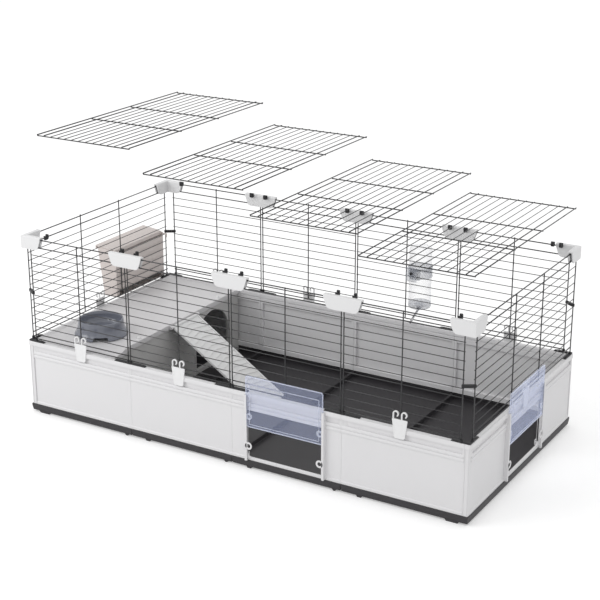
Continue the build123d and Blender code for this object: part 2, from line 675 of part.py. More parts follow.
# Feeder bowl: a slate bowl with a wide foot, a rounded rim and a finger notch at the front of its foot
BOWL_WALL = 4.0
NOTCH_WIDTH = 45.0
NOTCH_HEIGHT = 16.0
NOTCH_IN = 70.0
with BuildPart() as feeder_bowl:
    with BuildSketch(Plane((CAGE_X + BOWL_X, CAGE_Y + BOWL_Y, SHELF_TOP), x_dir=(1, 0, 0), z_dir=(0, -1, 0))):
        with BuildLine():
            Polyline(
                (0, 0),
                (BOWL_BASE, 0),
                (BOWL_BASE, BOWL_WALL),
                (BOWL_RIM + 4, BOWL_HEIGHT - 4),
                (BOWL_RIM, BOWL_HEIGHT),
                (BOWL_RIM - BOWL_WALL, BOWL_HEIGHT - 4),
                (BOWL_RIM + 2, 3 * BOWL_WALL),
                (BOWL_RIM - 6, BOWL_WALL),
                (0, BOWL_WALL),
                close=True,
            )
        make_face()
    revolve(axis=Axis((CAGE_X + BOWL_X, CAGE_Y + BOWL_Y, 0), (0, 0, 1)))
    notch_end = Plane((CAGE_X + BOWL_X, CAGE_Y + BOWL_Y - NOTCH_IN, SHELF_TOP), x_dir=(1, 0, 0), z_dir=(0, -1, 0))
    with BuildSketch(notch_end):
        with Locations((0, NOTCH_HEIGHT / 2)):
            Rectangle(NOTCH_WIDTH, NOTCH_HEIGHT)
    extrude(amount=BOWL_BASE - NOTCH_IN, mode=Mode.SUBTRACT)
save(feeder_bowl, "feeder_bowl")

# Drinking bottle: upside down behind the back wires, with a domed top and a ribbed cap
NECK_RADIUS = 21.0
SHOULDER = BOTTLE_RADIUS - NECK_RADIUS
DOME = 12.0
with BuildPart() as bottle:
    with BuildSketch(Plane((CAGE_X + BOTTLE_X, CAGE_Y + BOTTLE_Y, 0), x_dir=(1, 0, 0), z_dir=(0, -1, 0))):
        with BuildLine():
            Polyline(
                (0, BOTTLE_BOTTOM),
                (NECK_RADIUS, BOTTLE_BOTTOM),
                (BOTTLE_RADIUS - 4, BOTTLE_BOTTOM + 4),
                (BOTTLE_RADIUS, BOTTLE_BOTTOM + SHOULDER),
                (BOTTLE_RADIUS, BOTTLE_TOP - DOME),
                (BOTTLE_RADIUS - 4, BOTTLE_TOP - 4),
                (BOTTLE_RADIUS - DOME, BOTTLE_TOP),
                (0, BOTTLE_TOP),
                close=True,
            )
        make_face()
    revolve(axis=Axis((CAGE_X + BOTTLE_X, CAGE_Y + BOTTLE_Y, 0), (0, 0, 1)))
save(bottle, "bottle")

TUBE_RADIUS = 4.0
CAP_GRIP = 26.0
CAP_SIDES = 20
with BuildPart() as bottle_cap:
    with BuildSketch(level(BOTTLE_CAP_BOTTOM, BOTTLE_X, BOTTLE_Y)):
        RegularPolygon(CAP_GRIP, CAP_SIDES)
    extrude(amount=BOTTLE_BOTTOM - BOTTLE_CAP_BOTTOM)
    chamfer(bottle_cap.faces().sort_by(Axis.Z)[0].edges(), 4)
save(bottle_cap, "bottle_cap")

# Holder: a band round the bottle with a broad back that bears on the wires
BAND_BOTTOM = 385.0
BAND_HEIGHT = 38.0
HOLDER_BACK = 36.0
WIRE_BACK = DEPTH / 2 - WELD_IN
with BuildPart() as bottle_holder:
    with BuildSketch(level(BAND_BOTTOM, BOTTLE_X, BOTTLE_Y)):
        Circle(BOTTLE_RADIUS + HOLDER_SKIN)
        with Locations((0, (WIRE_BACK - BOTTLE_Y) / 2)):
            Rectangle(HOLDER_BACK, BOTTLE_Y - WIRE_BACK)
        Circle(BOTTLE_RADIUS, mode=Mode.SUBTRACT)
    extrude(amount=BAND_HEIGHT)
save(bottle_holder, "bottle_holder")

# Drinking tube: from the cap down and in through the wires, over the rim
TUBE_KNEE = 260.0
TUBE_END_Y = 330.0
TUBE_END_Z = 231.0
with BuildPart() as drinking_tube:
    with BuildLine(Plane((CAGE_X + BOTTLE_X, CAGE_Y, 0), x_dir=(0, 1, 0), z_dir=(1, 0, 0))) as tube_path:
        FilletPolyline(
            (BOTTLE_Y, BOTTLE_CAP_BOTTOM),
            (BOTTLE_Y, TUBE_KNEE),
            (TUBE_END_Y, TUBE_END_Z),
            radius=8,
        )
    with BuildSketch(level(BOTTLE_CAP_BOTTOM, BOTTLE_X, BOTTLE_Y)):
        RegularPolygon(TUBE_RADIUS, 8, rotation=22.5)
    sweep()
save(drinking_tube, "drinking_tube")

# Hay rack: an open-topped trough that hangs on the left end's wires
RACK_FOOT = 765.0
RACK_HEAD = 786.0
RACK_RISE = 8.0
WINDOW_MARGIN = 14.0
RACK_LOW = WALL_TOP + 1.0
RACK_SILL = 244.0
RACK_BACK_TOP = 371.0
HANGER_TIP = 694.0
HANGER_LOW = wire_row(7) + THIN / math.sqrt(3)
PIVOT_X = 720.0
PIVOT_Z = 375.0
PIVOT = 2.0


def rack_side(y):
    """Plane across the rack at one of its ends: x is the way out from the cage, y is up, z is towards +Y."""
    return Plane((CAGE_X, CAGE_Y + y, 0), x_dir=(-1, 0, 0), z_dir=(0, 1, 0))


with BuildPart() as hay_rack:
    with BuildSketch(rack_side(RACK_FRONT_Y)):
        with BuildLine():
            Polyline(
                (RACK_BACK, RACK_LOW),
                (RACK_FOOT, RACK_LOW),
                (RACK_HEAD, RACK_TOP + RACK_RISE),
                (RACK_BACK, RACK_TOP),
                close=True,
            )
        make_face()
    extrude(amount=RACK_REAR_Y - RACK_FRONT_Y)
    with BuildSketch(rack_side(RACK_FRONT_Y + RACK_SKIN)):
        with BuildLine():
            Polyline(
                (RACK_BACK + RACK_SKIN, RACK_LOW + RACK_SKIN),
                (RACK_FOOT - RACK_SKIN, RACK_LOW + RACK_SKIN),
                (RACK_HEAD - RACK_SKIN, RACK_TOP + 4 * RACK_RISE),
                (RACK_BACK + RACK_SKIN, RACK_TOP + 4 * RACK_RISE),
                close=True,
            )
        make_face()
    extrude(amount=RACK_REAR_Y - RACK_FRONT_Y - 2 * RACK_SKIN, mode=Mode.SUBTRACT)
    with BuildSketch(rack_side(RACK_FRONT_Y + RACK_SKIN)):
        with Locations((RACK_BACK + RACK_SKIN / 2, (RACK_BACK_TOP + RACK_TOP + RACK_RISE) / 2)):
            Rectangle(RACK_SKIN, RACK_TOP + RACK_RISE - RACK_BACK_TOP)
    extrude(amount=RACK_REAR_Y - RACK_FRONT_Y - 2 * RACK_SKIN, mode=Mode.SUBTRACT)
    with BuildSketch(rack_side(RACK_FRONT_Y + WINDOW_MARGIN)):
        with Locations((RACK_BACK + RACK_SKIN / 2, (RACK_BACK_TOP + RACK_SILL - WINDOW_MARGIN) / 2)):
            Rectangle(2 * RACK_SKIN, RACK_BACK_TOP - RACK_SILL - WINDOW_MARGIN)
    extrude(amount=RACK_REAR_Y - RACK_FRONT_Y - 2 * WINDOW_MARGIN, mode=Mode.SUBTRACT)
    for place in (RACK_FRONT_Y, RACK_REAR_Y - RACK_SKIN):
        with BuildSketch(rack_side(place)):
            with BuildLine():
                Polyline(
                    (RACK_BACK + RACK_SKIN, HANGER_LOW),
                    (HANGER_TIP + RACK_SKIN, HANGER_LOW),
                    (HANGER_TIP + RACK_SKIN, HANGER_LOW - 9),
                    (HANGER_TIP, HANGER_LOW - 9),
                    (HANGER_TIP, HANGER_LOW + 4),
                    (RACK_BACK + RACK_SKIN, HANGER_LOW + 4),
                    close=True,
                )
            make_face()
        extrude(amount=RACK_SKIN)
    with BuildSketch(rack_side(RACK_FRONT_Y)):
        with Locations((PIVOT_X, PIVOT_Z)):
            Circle(PIVOT + PLAY)
    extrude(amount=RACK_REAR_Y - RACK_FRONT_Y, mode=Mode.SUBTRACT)
save(hay_rack, "hay_rack")

# Rack lid: a sloping cover with a lip over the rack's outer edge and a pivot pin at each end
LID_THICK = 3.0
LID_START = PIVOT_X - PIVOT
LID_SLOPE = RACK_RISE / (RACK_HEAD - RACK_BACK)
LID_Z = RACK_TOP + LID_SLOPE * (LID_START - RACK_BACK) + 2 * PLAY
LID_RELIEF = 9.0
LIP_INNER = RACK_REACH - LID_THICK
EAR = 3.0
with BuildPart() as hay_rack_lid:
    with BuildSketch(rack_side(RACK_FRONT_Y)):
        with BuildLine():
            Polyline(
                (LID_START, LID_Z),
                (LIP_INNER, LID_Z + LID_SLOPE * (LIP_INNER - LID_START)),
                (LIP_INNER, LID_Z),
                (RACK_REACH, LID_Z),
                (RACK_REACH, LID_Z + LID_SLOPE * (RACK_REACH - LID_START) + LID_THICK),
                (LID_START, LID_Z + LID_THICK),
                close=True,
            )
        make_face()
    extrude(amount=RACK_REAR_Y - RACK_FRONT_Y)
    for place in (RACK_FRONT_Y, RACK_REAR_Y - RACK_SKIN - PLAY):
        with BuildSketch(rack_side(place)):
            with Locations((LID_START + LID_RELIEF / 2, LID_Z + LID_THICK)):
                Rectangle(LID_RELIEF, 4 * LID_THICK)
        extrude(amount=RACK_SKIN + PLAY, mode=Mode.SUBTRACT)
    for place in (RACK_FRONT_Y + RACK_SKIN + PLAY, RACK_REAR_Y - RACK_SKIN - PLAY - EAR):
        with BuildSketch(rack_side(place)):
            with Locations((PIVOT_X, (PIVOT_Z + LID_Z + LID_THICK / 2) / 2)):
                Rectangle(2 * PIVOT, LID_Z + LID_THICK / 2 - PIVOT_Z)
            with Locations((PIVOT_X, PIVOT_Z)):
                Circle(1.5 * PIVOT)
        extrude(amount=EAR)
    for place in (RACK_FRONT_Y, RACK_REAR_Y - RACK_SKIN - PLAY):
        with BuildSketch(rack_side(place)):
            with Locations((PIVOT_X, PIVOT_Z)):
                Circle(PIVOT)
        extrude(amount=RACK_SKIN + PLAY)
save(hay_rack_lid, "hay_rack_lid")

print("footprint middle", CAGE_X, CAGE_Y)
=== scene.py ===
import math

import bmesh
import bpy
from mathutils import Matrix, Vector


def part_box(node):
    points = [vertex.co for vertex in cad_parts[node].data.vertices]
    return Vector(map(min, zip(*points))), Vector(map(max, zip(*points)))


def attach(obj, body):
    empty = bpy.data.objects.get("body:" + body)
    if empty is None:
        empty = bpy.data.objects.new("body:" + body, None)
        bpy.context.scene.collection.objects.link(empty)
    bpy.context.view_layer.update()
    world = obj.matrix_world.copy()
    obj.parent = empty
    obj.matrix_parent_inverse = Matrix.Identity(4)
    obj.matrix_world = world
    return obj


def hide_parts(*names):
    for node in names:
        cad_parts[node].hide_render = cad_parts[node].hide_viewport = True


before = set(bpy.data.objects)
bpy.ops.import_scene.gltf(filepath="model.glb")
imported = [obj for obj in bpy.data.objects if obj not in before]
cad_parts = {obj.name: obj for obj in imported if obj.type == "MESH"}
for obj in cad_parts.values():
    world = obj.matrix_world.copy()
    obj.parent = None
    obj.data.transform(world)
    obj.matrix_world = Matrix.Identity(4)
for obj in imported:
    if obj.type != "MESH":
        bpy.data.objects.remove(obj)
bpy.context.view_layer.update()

# Floor trays: four shallow dishes of dark polypropylene, moulded with a border rolled over at its inner
# edge and a pebbled floor. They stand side by side on moulded runners, whose ends show under the skirt.
MM = 0.001
MODULES = 4
TRAY_NODES = [f"base_tray_{number}" for number in range(1, MODULES + 1)]
plan_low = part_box(TRAY_NODES[0])[0]
plan_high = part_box(TRAY_NODES[-1])[1]
MID_X = (plan_low[0] + plan_high[0]) / 2
MID_Y = (plan_low[1] + plan_high[1]) / 2
LENGTH = (plan_high[0] - plan_low[0]) / MM
DEPTH = (plan_high[1] - plan_low[1]) / MM
WALL_BOTTOM = plan_high[2] / MM
TRAY_FLOOR = 12.0
SKIRT_BOTTOM = 5.0
TRAY_BORDER = 15.0
TRAY_JOINT = 4.0
FOOT_REACH = 2.0
UNDERCUT = 7.0
TRAY_GAP = 0.3
RUNNER_DRAFT = 4.0
SKIRT_DRAFT = 2.0


def at(x, y, z):
    """A point in metres, from millimetres off the middle of the floor plan and up from the ground."""
    return Vector((MID_X + x * MM, MID_Y + y * MM, z * MM))


def skin(bm, rings, capped=True, looped=False):
    """Joins rings of points, each a closed outline, into one shell."""
    loops = [[bm.verts.new(point) for point in ring] for ring in rings]
    pairs = list(zip(loops, loops[1:]))
    if looped:
        pairs.append((loops[-1], loops[0]))
    count = len(loops[0])
    for low, high in pairs:
        for index in range(count):
            after = (index + 1) % count
            bm.faces.new((low[index], low[after], high[after], high[index]))
    if capped:
        bm.faces.new(list(reversed(loops[0])))
        bm.faces.new(loops[-1])


def rectangle(low_a, high_a, low_b, high_b):
    """The corners of a rectangle, in order."""
    return [(low_a, low_b), (high_a, low_b), (high_a, high_b), (low_a, high_b)]


def block(bm, low, high, draft=0.0):
    """A block between two corners in millimetres, the ends of its foot drawn in by the draft."""
    (x0, y0, z0), (x1, y1, z1) = low, high
    foot = [at(x, y, z0) for x, y in rectangle(x0 + draft, x1 - draft, y0, y1)]
    head = [at(x, y, z1) for x, y in rectangle(x0, x1, y0, y1)]
    skin(bm, (foot, head))


def soften(piece, width, segments=2, crease=30.0):
    """Rounds a piece's sharp edges by a width in millimetres and shades the rest smooth."""
    mesh = piece.data
    for polygon in mesh.polygons:
        polygon.use_smooth = True
    mesh.set_sharp_from_angle(angle=math.radians(crease))
    if width:
        bevel = piece.modifiers.new("rounding", "BEVEL")
        bevel.width = width * MM
        bevel.segments = segments
        bevel.limit_method = "ANGLE"
        bevel.angle_limit = math.radians(crease)
        bevel.harden_normals = True
        bevel.use_clamp_overlap = True


def linked(name, data):
    """A new object in the scene."""
    thing = bpy.data.objects.new(name, data)
    bpy.context.scene.collection.objects.link(thing)
    return thing


def solid(name, bm):
    """Turns a finished shell into an object in the scene."""
    bmesh.ops.recalc_face_normals(bm, faces=bm.faces)
    mesh = bpy.data.meshes.new(name)
    bm.to_mesh(mesh)
    bm.free()
    return linked(name, mesh)


def settle(name, bm, body, material, nodes, rounding=0.5, segments=2, crease=30.0):
    """Turns a finished shell into a piece that rides on its body and stands for its nodes."""
    piece = solid(name, bm)
    piece.data.materials.append(material)
    soften(piece, rounding, segments, crease)
    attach(piece, body)
    if nodes:
        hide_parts(*nodes)
    return piece


def new_material(name):
    material = bpy.data.materials.new(name)
    material.use_nodes = True
    shader = material.node_tree.nodes["Principled BSDF"]
    return material, material.node_tree, shader


def noise(tree, scale, detail=2):
    """A noise in the piece's own space, as a value from nought to one."""
    place = tree.nodes.new("ShaderNodeTexCoord")
    pattern = tree.nodes.new("ShaderNodeTexNoise")
    pattern.inputs["Scale"].default_value = scale
    pattern.inputs["Detail"].default_value = detail
    tree.links.new(place.outputs["Object"], pattern.inputs["Vector"])
    return pattern.outputs["Fac"]


def relief(tree, shader, height, strength, depth):
    """Raises a pattern off the surface, by a depth in millimetres."""
    bump = tree.nodes.new("ShaderNodeBump")
    bump.inputs["Strength"].default_value = strength
    bump.inputs["Distance"].default_value = depth * MM
    tree.links.new(height, bump.inputs["Height"])
    tree.links.new(bump.outputs["Normal"], shader.inputs["Normal"])


def spread(tree, value, low, high, socket):
    """Feeds a socket with a value from nought to one, spread between a low and a high level."""
    level = tree.nodes.new("ShaderNodeMapRange")
    level.inputs["To Min"].default_value = low
    level.inputs["To Max"].default_value = high
    tree.links.new(value, level.inputs["Value"])
    tree.links.new(level.outputs["Result"], socket)


def moulded(name, colour, roughness, grain=0.9, depth=0.02, drift=0.05, sheen=0.5):
    """Moulded plastic: a fine spark-eroded grain in millimetres and a slow drift of tone."""
    material, tree, shader = new_material(name)
    shader.inputs["Specular IOR Level"].default_value = sheen
    relief(tree, shader, noise(tree, 1 / (grain * MM), 3), 0.35, depth)
    flow = noise(tree, 7, 4)
    tone = tree.nodes.new("ShaderNodeMix")
    tone.data_type = "RGBA"
    tone.inputs[6].default_value = (*(channel * (1 - drift) for channel in colour), 1)
    tone.inputs[7].default_value = (*(channel * (1 + drift) for channel in colour), 1)
    tree.links.new(flow, tone.inputs[0])
    tree.links.new(tone.outputs[2], shader.inputs["Base Color"])
    spread(tree, flow, roughness - 0.06, roughness + 0.06, shader.inputs["Roughness"])
    return material


tray_plastic = moulded("dark_tray_plastic", (0.031, 0.029, 0.032), 0.5, grain=1.4, depth=0.05, sheen=0.42)
# Each tray's two runners: the middle and the width of each.
RUNNERS = (
    ((-667.0, 41.0), (-363.0, 14.0)),
    ((-287.5, 19.0), (-20.0, 14.0)),
    ((55.5, 19.0), (323.0, 14.0)),
    ((398.5, 19.0), (667.0, 41.0)),
)
for index, node in enumerate(TRAY_NODES):
    low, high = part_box(node)
    left = (low[0] - MID_X) / MM
    right = (high[0] - MID_X) / MM
    inner_left = left + (TRAY_BORDER if index == 0 else TRAY_JOINT)
    inner_right = right - (TRAY_BORDER if index == MODULES - 1 else TRAY_JOINT)
    half = DEPTH / 2
    inner = half - TRAY_BORDER
    deep = inner + UNDERCUT
    deep_left = inner_left - (UNDERCUT if index == 0 else 0)
    deep_right = inner_right + (UNDERCUT if index == MODULES - 1 else 0)

    def outline(x0, x1, reach, z):
        return [at(x, y, z) for x, y in rectangle(x0, x1, -reach, reach)]

    bm = bmesh.new()
    skin(bm, (
        outline(left + SKIRT_DRAFT, right - SKIRT_DRAFT, half - SKIRT_DRAFT - 1, SKIRT_BOTTOM),
        outline(left + TRAY_GAP, right - TRAY_GAP, half, WALL_BOTTOM - 7),
        outline(left + TRAY_GAP, right - TRAY_GAP, half, WALL_BOTTOM),
        outline(inner_left, inner_right, inner, WALL_BOTTOM),
        outline(inner_left, inner_right, inner, WALL_BOTTOM - 3),
        outline(deep_left, deep_right, deep, WALL_BOTTOM - 5),
        outline(deep_left, deep_right, deep, TRAY_FLOOR + 1),
        outline(deep_left + 1, deep_right - 1, deep - 1, TRAY_FLOOR),
    ))
    for place, width in RUNNERS[index]:
        start = (place - width / 2, -half + FOOT_REACH, 0)
        end = (place + width / 2, half - FOOT_REACH, SKIRT_BOTTOM + 1)
        block(bm, start, end, RUNNER_DRAFT)
    settle(f"floor_tray_{index + 1}", bm, "cage", tray_plastic, [node], 0.8)

# Walls: injection-moulded white panels with a rounded rim, a recessed band, two beads, a flat face and
# ribs inside. They clip together end to end on the trays' border. The third front wall and the right end
# wall have a doorway with a guide down each side and a ring for the door's lock.
WALL_TOP = 226.0
FACE_TOP = 174.0
BEAD_TOP = 196.0
BAND_TOP = 213.0
LIP_IN = 2.0
FACE_IN = 4.0
BAND_IN = 8.5
BACK_IN = 8.0
STEP_IN = 13.5
RIM_IN = 16.0
PITCH = 343.0
POST_LONG = 18.0
POST_SHORT = 10.0
PILLAR = 5.0
WALL_GAP = 0.15
RIM_OUT = 0.2
RIM_ROUND = 3.0
BEAD = 3.0
SIDES = {
    "front": ((0.0, -DEPTH / 2), (1, 0)),
    "right": ((LENGTH / 2, 0.0), (0, 1)),
    "back": ((0.0, DEPTH / 2), (-1, 0)),
    "left": ((-LENGTH / 2, 0.0), (0, -1)),
}


def beside(side, along, inset, z):
    """A point by a wall: millimetres along it, in from its outer line and up."""
    (mid_x, mid_y), (dx, dy) = SIDES[side]
    return at(mid_x + dx * along - dy * inset, mid_y + dy * along + dx * inset, z)


def bar(bm, side, start, end, outline):
    """A straight run along a wall with one outline of (inset, height) points."""
    skin(bm, [[beside(side, along, inset, z) for inset, z in outline] for along in (start, end)])


def parallel(side, inset, outline):
    """An outline of (along, height) points, laid parallel to a wall at an inset."""
    return [beside(side, along, inset, z) for along, z in outline]


def slab(bm, side, inner, outer, outline):
    """A flat shape parallel to a wall, its outline in (along, height), between two insets."""
    skin(bm, (parallel(side, inner, outline), parallel(side, outer, outline)))


def upright(bm, side, plan, low, high):
    """A shape with one plan of (along, inset) points from one height to another."""
    skin(bm, [[beside(side, along, inset, z) for along, inset in plan] for z in (low, high)])


def arc(centre, radius, first, last, steps):
    """Points on an arc, its angles in degrees."""
    turns = [math.radians(first + (last - first) * step / steps) for step in range(steps + 1)]
    return [(centre[0] + radius * math.cos(turn), centre[1] + radius * math.sin(turn)) for turn in turns]


def circle(centre, radius, steps):
    """Points on a whole circle."""
    return arc(centre, radius, 0, 360, steps)[:-1]


def bead(bottom, top):
    """One rounded bead of the wall, from its foot to its head."""
    middle = (bottom + top) / 2
    half = (top - bottom) / 2
    turns = [math.pi * step / 8 for step in range(9)]
    return [(FACE_IN - BEAD * math.sin(turn), middle - half * math.cos(turn)) for turn in turns]


BEAD_JOIN = (FACE_TOP + BEAD_TOP) / 2
wall_outline = (
    [(BACK_IN, WALL_BOTTOM), (LIP_IN, WALL_BOTTOM), (LIP_IN, WALL_BOTTOM + 7), (FACE_IN, WALL_BOTTOM + 9)]
    + bead(FACE_TOP, BEAD_JOIN)
    + bead(BEAD_JOIN, BEAD_TOP)[1:]
    + [(BAND_IN, BEAD_TOP), (BAND_IN, BAND_TOP), (RIM_OUT, BAND_TOP)]
    + arc((RIM_OUT + RIM_ROUND, WALL_TOP - RIM_ROUND), RIM_ROUND, 180, 90, 5)
    + arc((RIM_IN - 2, WALL_TOP - 2), 2, 90, 0, 4)
    + [(RIM_IN, BAND_TOP), (STEP_IN, BAND_TOP - 4), (STEP_IN, BEAD_TOP - 4), (BACK_IN, BEAD_TOP - 7)]
)
DOOR_WIDTH = 240.0
OPENING = 241.0
OPENING_BOTTOM = 34.0
DOOR_GAP = 2.0
DOOR_THICK = 3.0
RING = 9.5
RING_HOLE = 4.8
GUIDE = 3.5
GUIDE_OUT = 7.4
GUIDE_ROOT = 9.5
GUIDE_LIP = 3.5
GUIDE_TOP = 222.0
EYE = 11.0
EYE_HOLE = 5.8
EYE_Z = 72.0
SILL_ROUND = 10.0
DOOR_RIM = 4.0
LIP_OUT = -(DOOR_GAP + DOOR_THICK + 0.5)
wall_plastic = moulded("white_wall_plastic", (0.715, 0.71, 0.72), 0.42, grain=0.8, depth=0.015, drift=0.012)


def ring(bm, side, along, z, inner, outer, radius, bore, steps=32):
    """A flat ring parallel to a wall, between two insets."""
    edges = ((radius, inner), (radius, outer), (bore, outer), (bore, inner))
    skin(bm, [parallel(side, inset, circle((along, z), r, steps)) for r, inset in edges], False, True)


def carve(piece, rings):
    """Cuts a closed shape, given by its rings, out of a piece."""
    bm = bmesh.new()
    skin(bm, rings)
    cutter = solid("cutter", bm)
    cutting = piece.modifiers.new("opening", "BOOLEAN")
    cutting.operation = "DIFFERENCE"
    cutting.solver = "EXACT"
    cutting.object = cutter
    seen = piece.evaluated_get(bpy.context.evaluated_depsgraph_get())
    result = bpy.data.meshes.new_from_object(seen)
    piece.modifiers.clear()
    piece.data = result
    bpy.data.objects.remove(cutter)


RIB = 8.0
RIB_OUT = 7.6
LEDGE_TOP = 45.0
GUSSET = 17.0


def rib_outline(low_z, high_z):
    """Section of a stiffening rib on a wall's inner face."""
    proud = BACK_IN + RIB_OUT
    return ((BACK_IN - 1, low_z), (proud, low_z + 0.6), (proud, high_z - 0.6), (BACK_IN - 1, high_z))


def doorway_line(centre, growth):
    """The doorway's sides and foot, its lower corners rounded, wider by a growth."""
    half = OPENING / 2 + growth
    foot = OPENING_BOTTOM - growth
    radius = SILL_ROUND + growth
    return (
        [(centre - half, FACE_TOP)]
        + arc((centre - half + radius, foot + radius), radius, 180, 270, 6)
        + arc((centre + half - radius, foot + radius), radius, 270, 360, 6)
        + [(centre + half, FACE_TOP)]
    )


def wall(name, side, start, width, node, doorway=None):
    bm = bmesh.new()
    bar(bm, side, start + WALL_GAP, start + width - WALL_GAP, wall_outline)
    piece = settle(name, bm, "cage", wall_plastic, [node], 0)
    if doorway is not None:
        line = doorway_line(doorway, 0)
        carve(piece, (parallel(side, -2 * RIM_IN, line), parallel(side, 2 * RIM_IN, line)))
    soften(piece, 0.7, 2, 32)
    bm = bmesh.new()
    for place in (start + WALL_GAP, start + width - PILLAR - WALL_GAP):
        bar(bm, side, place, place + PILLAR, rectangle(LIP_IN, BAND_IN + 1, BEAD_TOP - 1, BAND_TOP + 1))
    gusset = start + PILLAR
    gusset_plan = (
        (gusset - 1, BAND_IN + 0.5), (gusset - 1, LIP_IN + 1),
        (gusset + 3, LIP_IN + 1.5), (gusset + GUSSET, BAND_IN + 0.2),
    )
    upright(bm, side, gusset_plan, BEAD_TOP - 0.5, BAND_TOP + 0.5)
    inner_start = start + RIB
    inner_end = start + width - RIB
    runs = ((inner_start, inner_end),)
    if doorway is not None:
        runs = ((inner_start, doorway - OPENING / 2 - 1), (doorway + OPENING / 2 + 1, inner_end))
        rim = doorway_line(doorway, DOOR_RIM) + doorway_line(doorway, 0.2)[::-1]
        slab(bm, side, FACE_IN + 0.5, FACE_IN - 2.2, rim)
    for low_along, high_along in runs:
        bar(bm, side, low_along, high_along, rib_outline(WALL_BOTTOM + 3, LEDGE_TOP))
    bar(bm, side, inner_start, inner_end, rib_outline(BEAD_TOP - 3, BAND_TOP - 3))
    for place in (start + 0.3, inner_end - 0.3):
        bar(bm, side, place, place + RIB, rib_outline(WALL_BOTTOM + 3, BAND_TOP - 3))
    settle(name + "_ribs", bm, "cage", wall_plastic, [], 0.7)


def door_frame(name, side, doorway):
    """The doorway's two guides, their stops at the foot and the lock rings, moulded with the wall."""
    bm = bmesh.new()
    for hand in (-1, 1):
        jamb = doorway + hand * OPENING / 2
        far = jamb + hand * GUIDE
        lip = jamb - hand * GUIDE_LIP
        plan = (
            (far, GUIDE_ROOT), (far, -GUIDE_OUT), (lip, -GUIDE_OUT),
            (lip, LIP_OUT), (jamb, LIP_OUT), (jamb, GUIDE_ROOT),
        )
        upright(bm, side, plan, WALL_BOTTOM, GUIDE_TOP)
        stop = rectangle(-GUIDE_OUT, 0, WALL_BOTTOM, WALL_BOTTOM + 2)
        bar(bm, side, min(jamb, lip), max(jamb, lip), stop)
        ring(bm, side, jamb - hand * (EYE - 2), EYE_Z, LIP_OUT, -GUIDE_OUT, EYE, EYE_HOLE)
    settle(name, bm, "cage", wall_plastic, [], 0.6)


FRONT_DOOR_X = PITCH / 2
SIDE_DOOR_Y = 0.0
wall_edges = (-LENGTH / 2 + POST_LONG, -PITCH, 0.0, PITCH, LENGTH / 2 - POST_LONG)
for index in range(MODULES):
    left = wall_edges[index]
    width = wall_edges[index + 1] - left
    doorway = FRONT_DOOR_X if index == 2 else None
    wall(f"front_wall_skin_{index + 1}", "front", left, width, f"front_wall_{index + 1}", doorway)
    wall(f"back_wall_skin_{index + 1}", "back", -left - width, width, f"back_wall_{index + 1}")
END_WALL = DEPTH - 2 * POST_SHORT
wall("left_end_wall", "left", -END_WALL / 2, END_WALL, "left_side_wall")
wall("right_end_wall", "right", -END_WALL / 2, END_WALL, "right_side_wall", SIDE_DOOR_Y)
door_frame("front_door_frame", "front", FRONT_DOOR_X)
door_frame("side_door_frame", "right", SIDE_DOOR_Y)

# Corner posts: white mouldings that lock a long wall to an end wall, rounded on the outer corner, with
# two thin upright ribs, and capped by the same rim as the walls.
CORNERS = ((-1, -1), (1, -1), (1, 1), (-1, 1))
POST_RIBS = (POST_LONG - 0.6, 7.0)
# Stations of a post from the foot up: inset, radius of the outer corner, height.
POST_STATIONS = (
    (LIP_IN, 4, WALL_BOTTOM),
    (LIP_IN, 4, BAND_TOP - 1),
    (RIM_OUT, 6, BAND_TOP),
    (RIM_OUT, 6, WALL_TOP - 2.5),
    (1.2, 5, WALL_TOP - 0.7),
    (3, 4, WALL_TOP),
)


def rounded_corner(hand_x, hand_y, inset, radius, z):
    """Plan of a post: a block whose outer corner is rounded."""
    out_x = LENGTH / 2 - inset
    out_y = DEPTH / 2 - inset
    in_x = LENGTH / 2 - POST_LONG + 0.2
    in_y = DEPTH / 2 - POST_SHORT + 0.2
    plan = [(in_x, in_y), (in_x, out_y)]
    plan += arc((out_x - radius, out_y - radius), radius, 90, 0, 6) + [(out_x, in_y)]
    return [at(hand_x * x, hand_y * y, z) for x, y in plan]


for number, (hand_x, hand_y) in enumerate(CORNERS, start=1):
    bm = bmesh.new()
    skin(bm, [rounded_corner(hand_x, hand_y, *station) for station in POST_STATIONS])
    for offset in POST_RIBS:
        edge = LENGTH / 2 - offset
        foot = rectangle(edge, edge + 2, DEPTH / 2 - 3, DEPTH / 2 - 0.8)
        skin(bm, [[at(hand_x * x, hand_y * y, z) for x, y in foot] for z in (WALL_BOTTOM + 1, BAND_TOP + 1)])
    node = f"corner_post_{number}"
    settle(f"corner_post_skin_{number}", bm, "cage", wall_plastic, [node], 0.5)

# Wire panels: drawn steel wire, welded where the level wires cross the uprights, then coated black. The
# top two rows, the bottom row and the foot wire close below it are of the thicker wire.
TOP_ROW = 543.9
ROW_PITCH = 24.55
ROWS = 13
THIN = 2.0
THICK = 3.0
WELD_IN = 6.0
WIRE_FOOT = 236.0
WIRE_HEAD = 547.0
EDGE_WIRE = 683.0
PAIR_GAP = 4.0
WIRE_END = 2.0
SIDE_UPRIGHTS = (-339.6, -95.0, 95.0, 339.6)
WIRE_SIDES = 12
COATED = 1.12
FOOT_ROW = 235.6
SUNK = 0.25


def wire(bm, start, end, gauge):
    """A straight round wire with slightly rounded ends."""
    way = (end - start).normalized()
    across = way.orthogonal().normalized()
    up = way.cross(across)
    radius = gauge / 2 * COATED * MM
    shoulder = way * 0.3 * radius
    rings = []
    for place, share in ((start, 0.7), (start + shoulder, 1), (end - shoulder, 1), (end, 0.7)):
        rings.append([place + across * u + up * v for u, v in circle((0, 0), radius * share, WIRE_SIDES)])
    skin(bm, rings)





